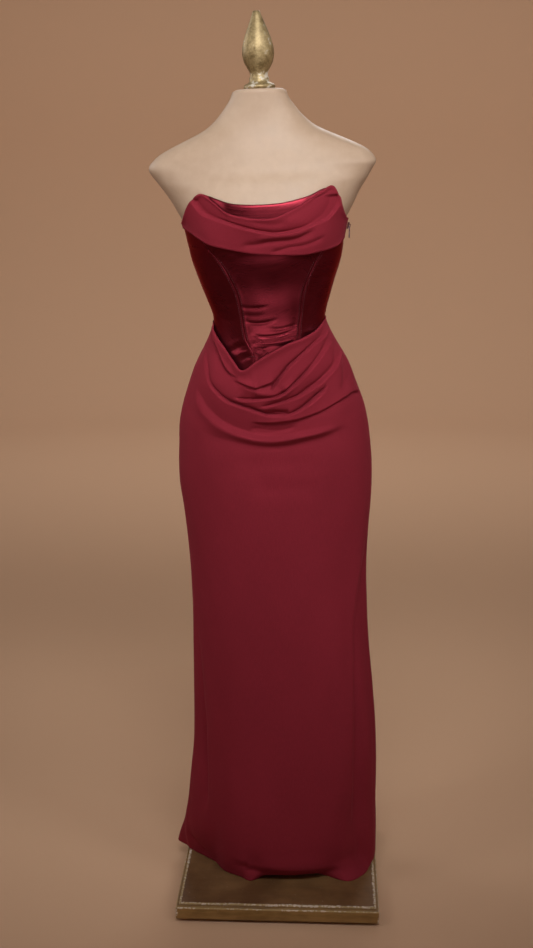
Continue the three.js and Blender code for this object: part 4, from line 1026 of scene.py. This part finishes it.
def repaint(node, paint):  # a CAD piece that stays gets its procedural finish
    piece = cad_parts[node]
    if not piece.data.materials:
        piece.data.materials.append(paint)
    for holder in piece.material_slots:
        holder.material = paint


for node, paint in {"base_plinth": "plinth", "stand_pole": "pole", "zip_slider": "slider",
                    "zip_pull_tab": "tab"}.items():
    repaint(node, paints[paint])

stage = {
    "floorShade": (0.61, 0.388, 0.248), "room": (0.60, 0.42, 0.30), "roomStrength": 0.065,
    "reach": 6.5, "wall": 4.6, "cove": 1.6, "coveSteps": 16, "turns": 96, "weld": 0.0001,
    # place, aim, wide, tall, power, spread in degrees
    "lights": [
        ((0.20, -1.65, 2.70), (0, 0, 1.28), 1.4, 0.6, 5.1, 55),
        ((0.10, -2.9, 0.90), (0.06, 0, 1.2), 0.75, 1.50, 1.45, 56),
        ((-2.0, 0.9, 2.15), (-0.1, 0, 1.25), 0.9, 1.0, 3.4, 100),
        ((-1.8, -1.2, 2.3), (0, 0, 1.2), 0.7, 1.2, 2.3, 80),
        ((1.7, -1.3, 2.5), (0, 0, 1.25), 0.7, 1.2, 2.9, 75),
        ((0.2, 2.4, 2.8), (0, 0, 1.1), 1.4, 0.8, 6.0, 90),
    ],
    # lamps over the floor that light the sweep all round and not the gown: turn and power, then
    # how far out and how high they stand and aim
    "washes": [(0, 62), (90, 35), (180, 32), (270, 35)], "washAt": (3.0, 3.4), "washAim": (5.3, 0.6),
    "washSize": (4.2, 1.2), "washSpread": 150,
}


def addLamp(name, place, aim, wide, tall, power, spread):
    data = bpy.data.lights.new(name, "AREA")
    data.shape, data.size, data.size_y, data.energy = "RECTANGLE", wide, tall, power
    data.spread = math.radians(spread)
    lamp = bpy.data.objects.new(name, data)
    lamp.location = place
    lamp.visible_camera = False
    lamp.rotation_euler = (Vector(aim) - Vector(place)).to_track_quat("-Z", "Y").to_euler()
    bpy.context.collection.objects.link(lamp)


def addStage():
    # a round floor that turns up into a plain wall through a cove
    sweep = bmesh.new()
    reach, wall = stage["reach"], stage["wall"]
    verts = [sweep.verts.new(spot) for spot in ((0, 0, 0), (reach, 0, 0), (reach, 0, wall))]
    for pair in zip(verts, verts[1:]):
        sweep.edges.new(pair)
    bmesh.ops.bevel(sweep, geom=[verts[1]], offset=stage["cove"], offset_type="OFFSET",
                    segments=stage["coveSteps"], profile=0.5, affect="VERTICES", material=-1)
    bmesh.ops.spin(sweep, geom=sweep.verts[:] + sweep.edges[:], cent=(0, 0, 0), axis=(0, 0, 1),
                   angle=math.tau, steps=stage["turns"], use_merge=True)
    bmesh.ops.remove_doubles(sweep, verts=sweep.verts, dist=stage["weld"])
    bmesh.ops.recalc_face_normals(sweep, faces=sweep.faces)
    bmesh.ops.reverse_faces(sweep, faces=sweep.faces)
    paint = Paint("floorPaint").finish(Base_Color=(*stage["floorShade"], 1), Roughness=0.9,
                                       Specular_IOR_Level=0.1)
    piece = addPiece("floor", sweep, paint)
    for k, lamp in enumerate(stage["lights"]):
        addLamp(f"softLight{k}", *lamp)
    for turn, power in stage["washes"]:
        way = Vector((math.sin(math.radians(turn)), math.cos(math.radians(turn)), 0))
        place, aim = (way * out + Vector((0, 0, up)) for out, up in (stage["washAt"], stage["washAim"]))
        addLamp(f"wash{turn}", place, aim, *stage["washSize"], power, stage["washSpread"])
    world = bpy.data.worlds.new("room")
    world.use_nodes = True
    light = world.node_tree.nodes["Background"]
    light.inputs[0].default_value = (*stage["room"], 1)
    light.inputs[1].default_value = stage["roomStrength"]
    bpy.context.scene.world = world
    bpy.context.scene.view_settings.view_transform = "Standard"


addStage()
print("stage made")

print("done")
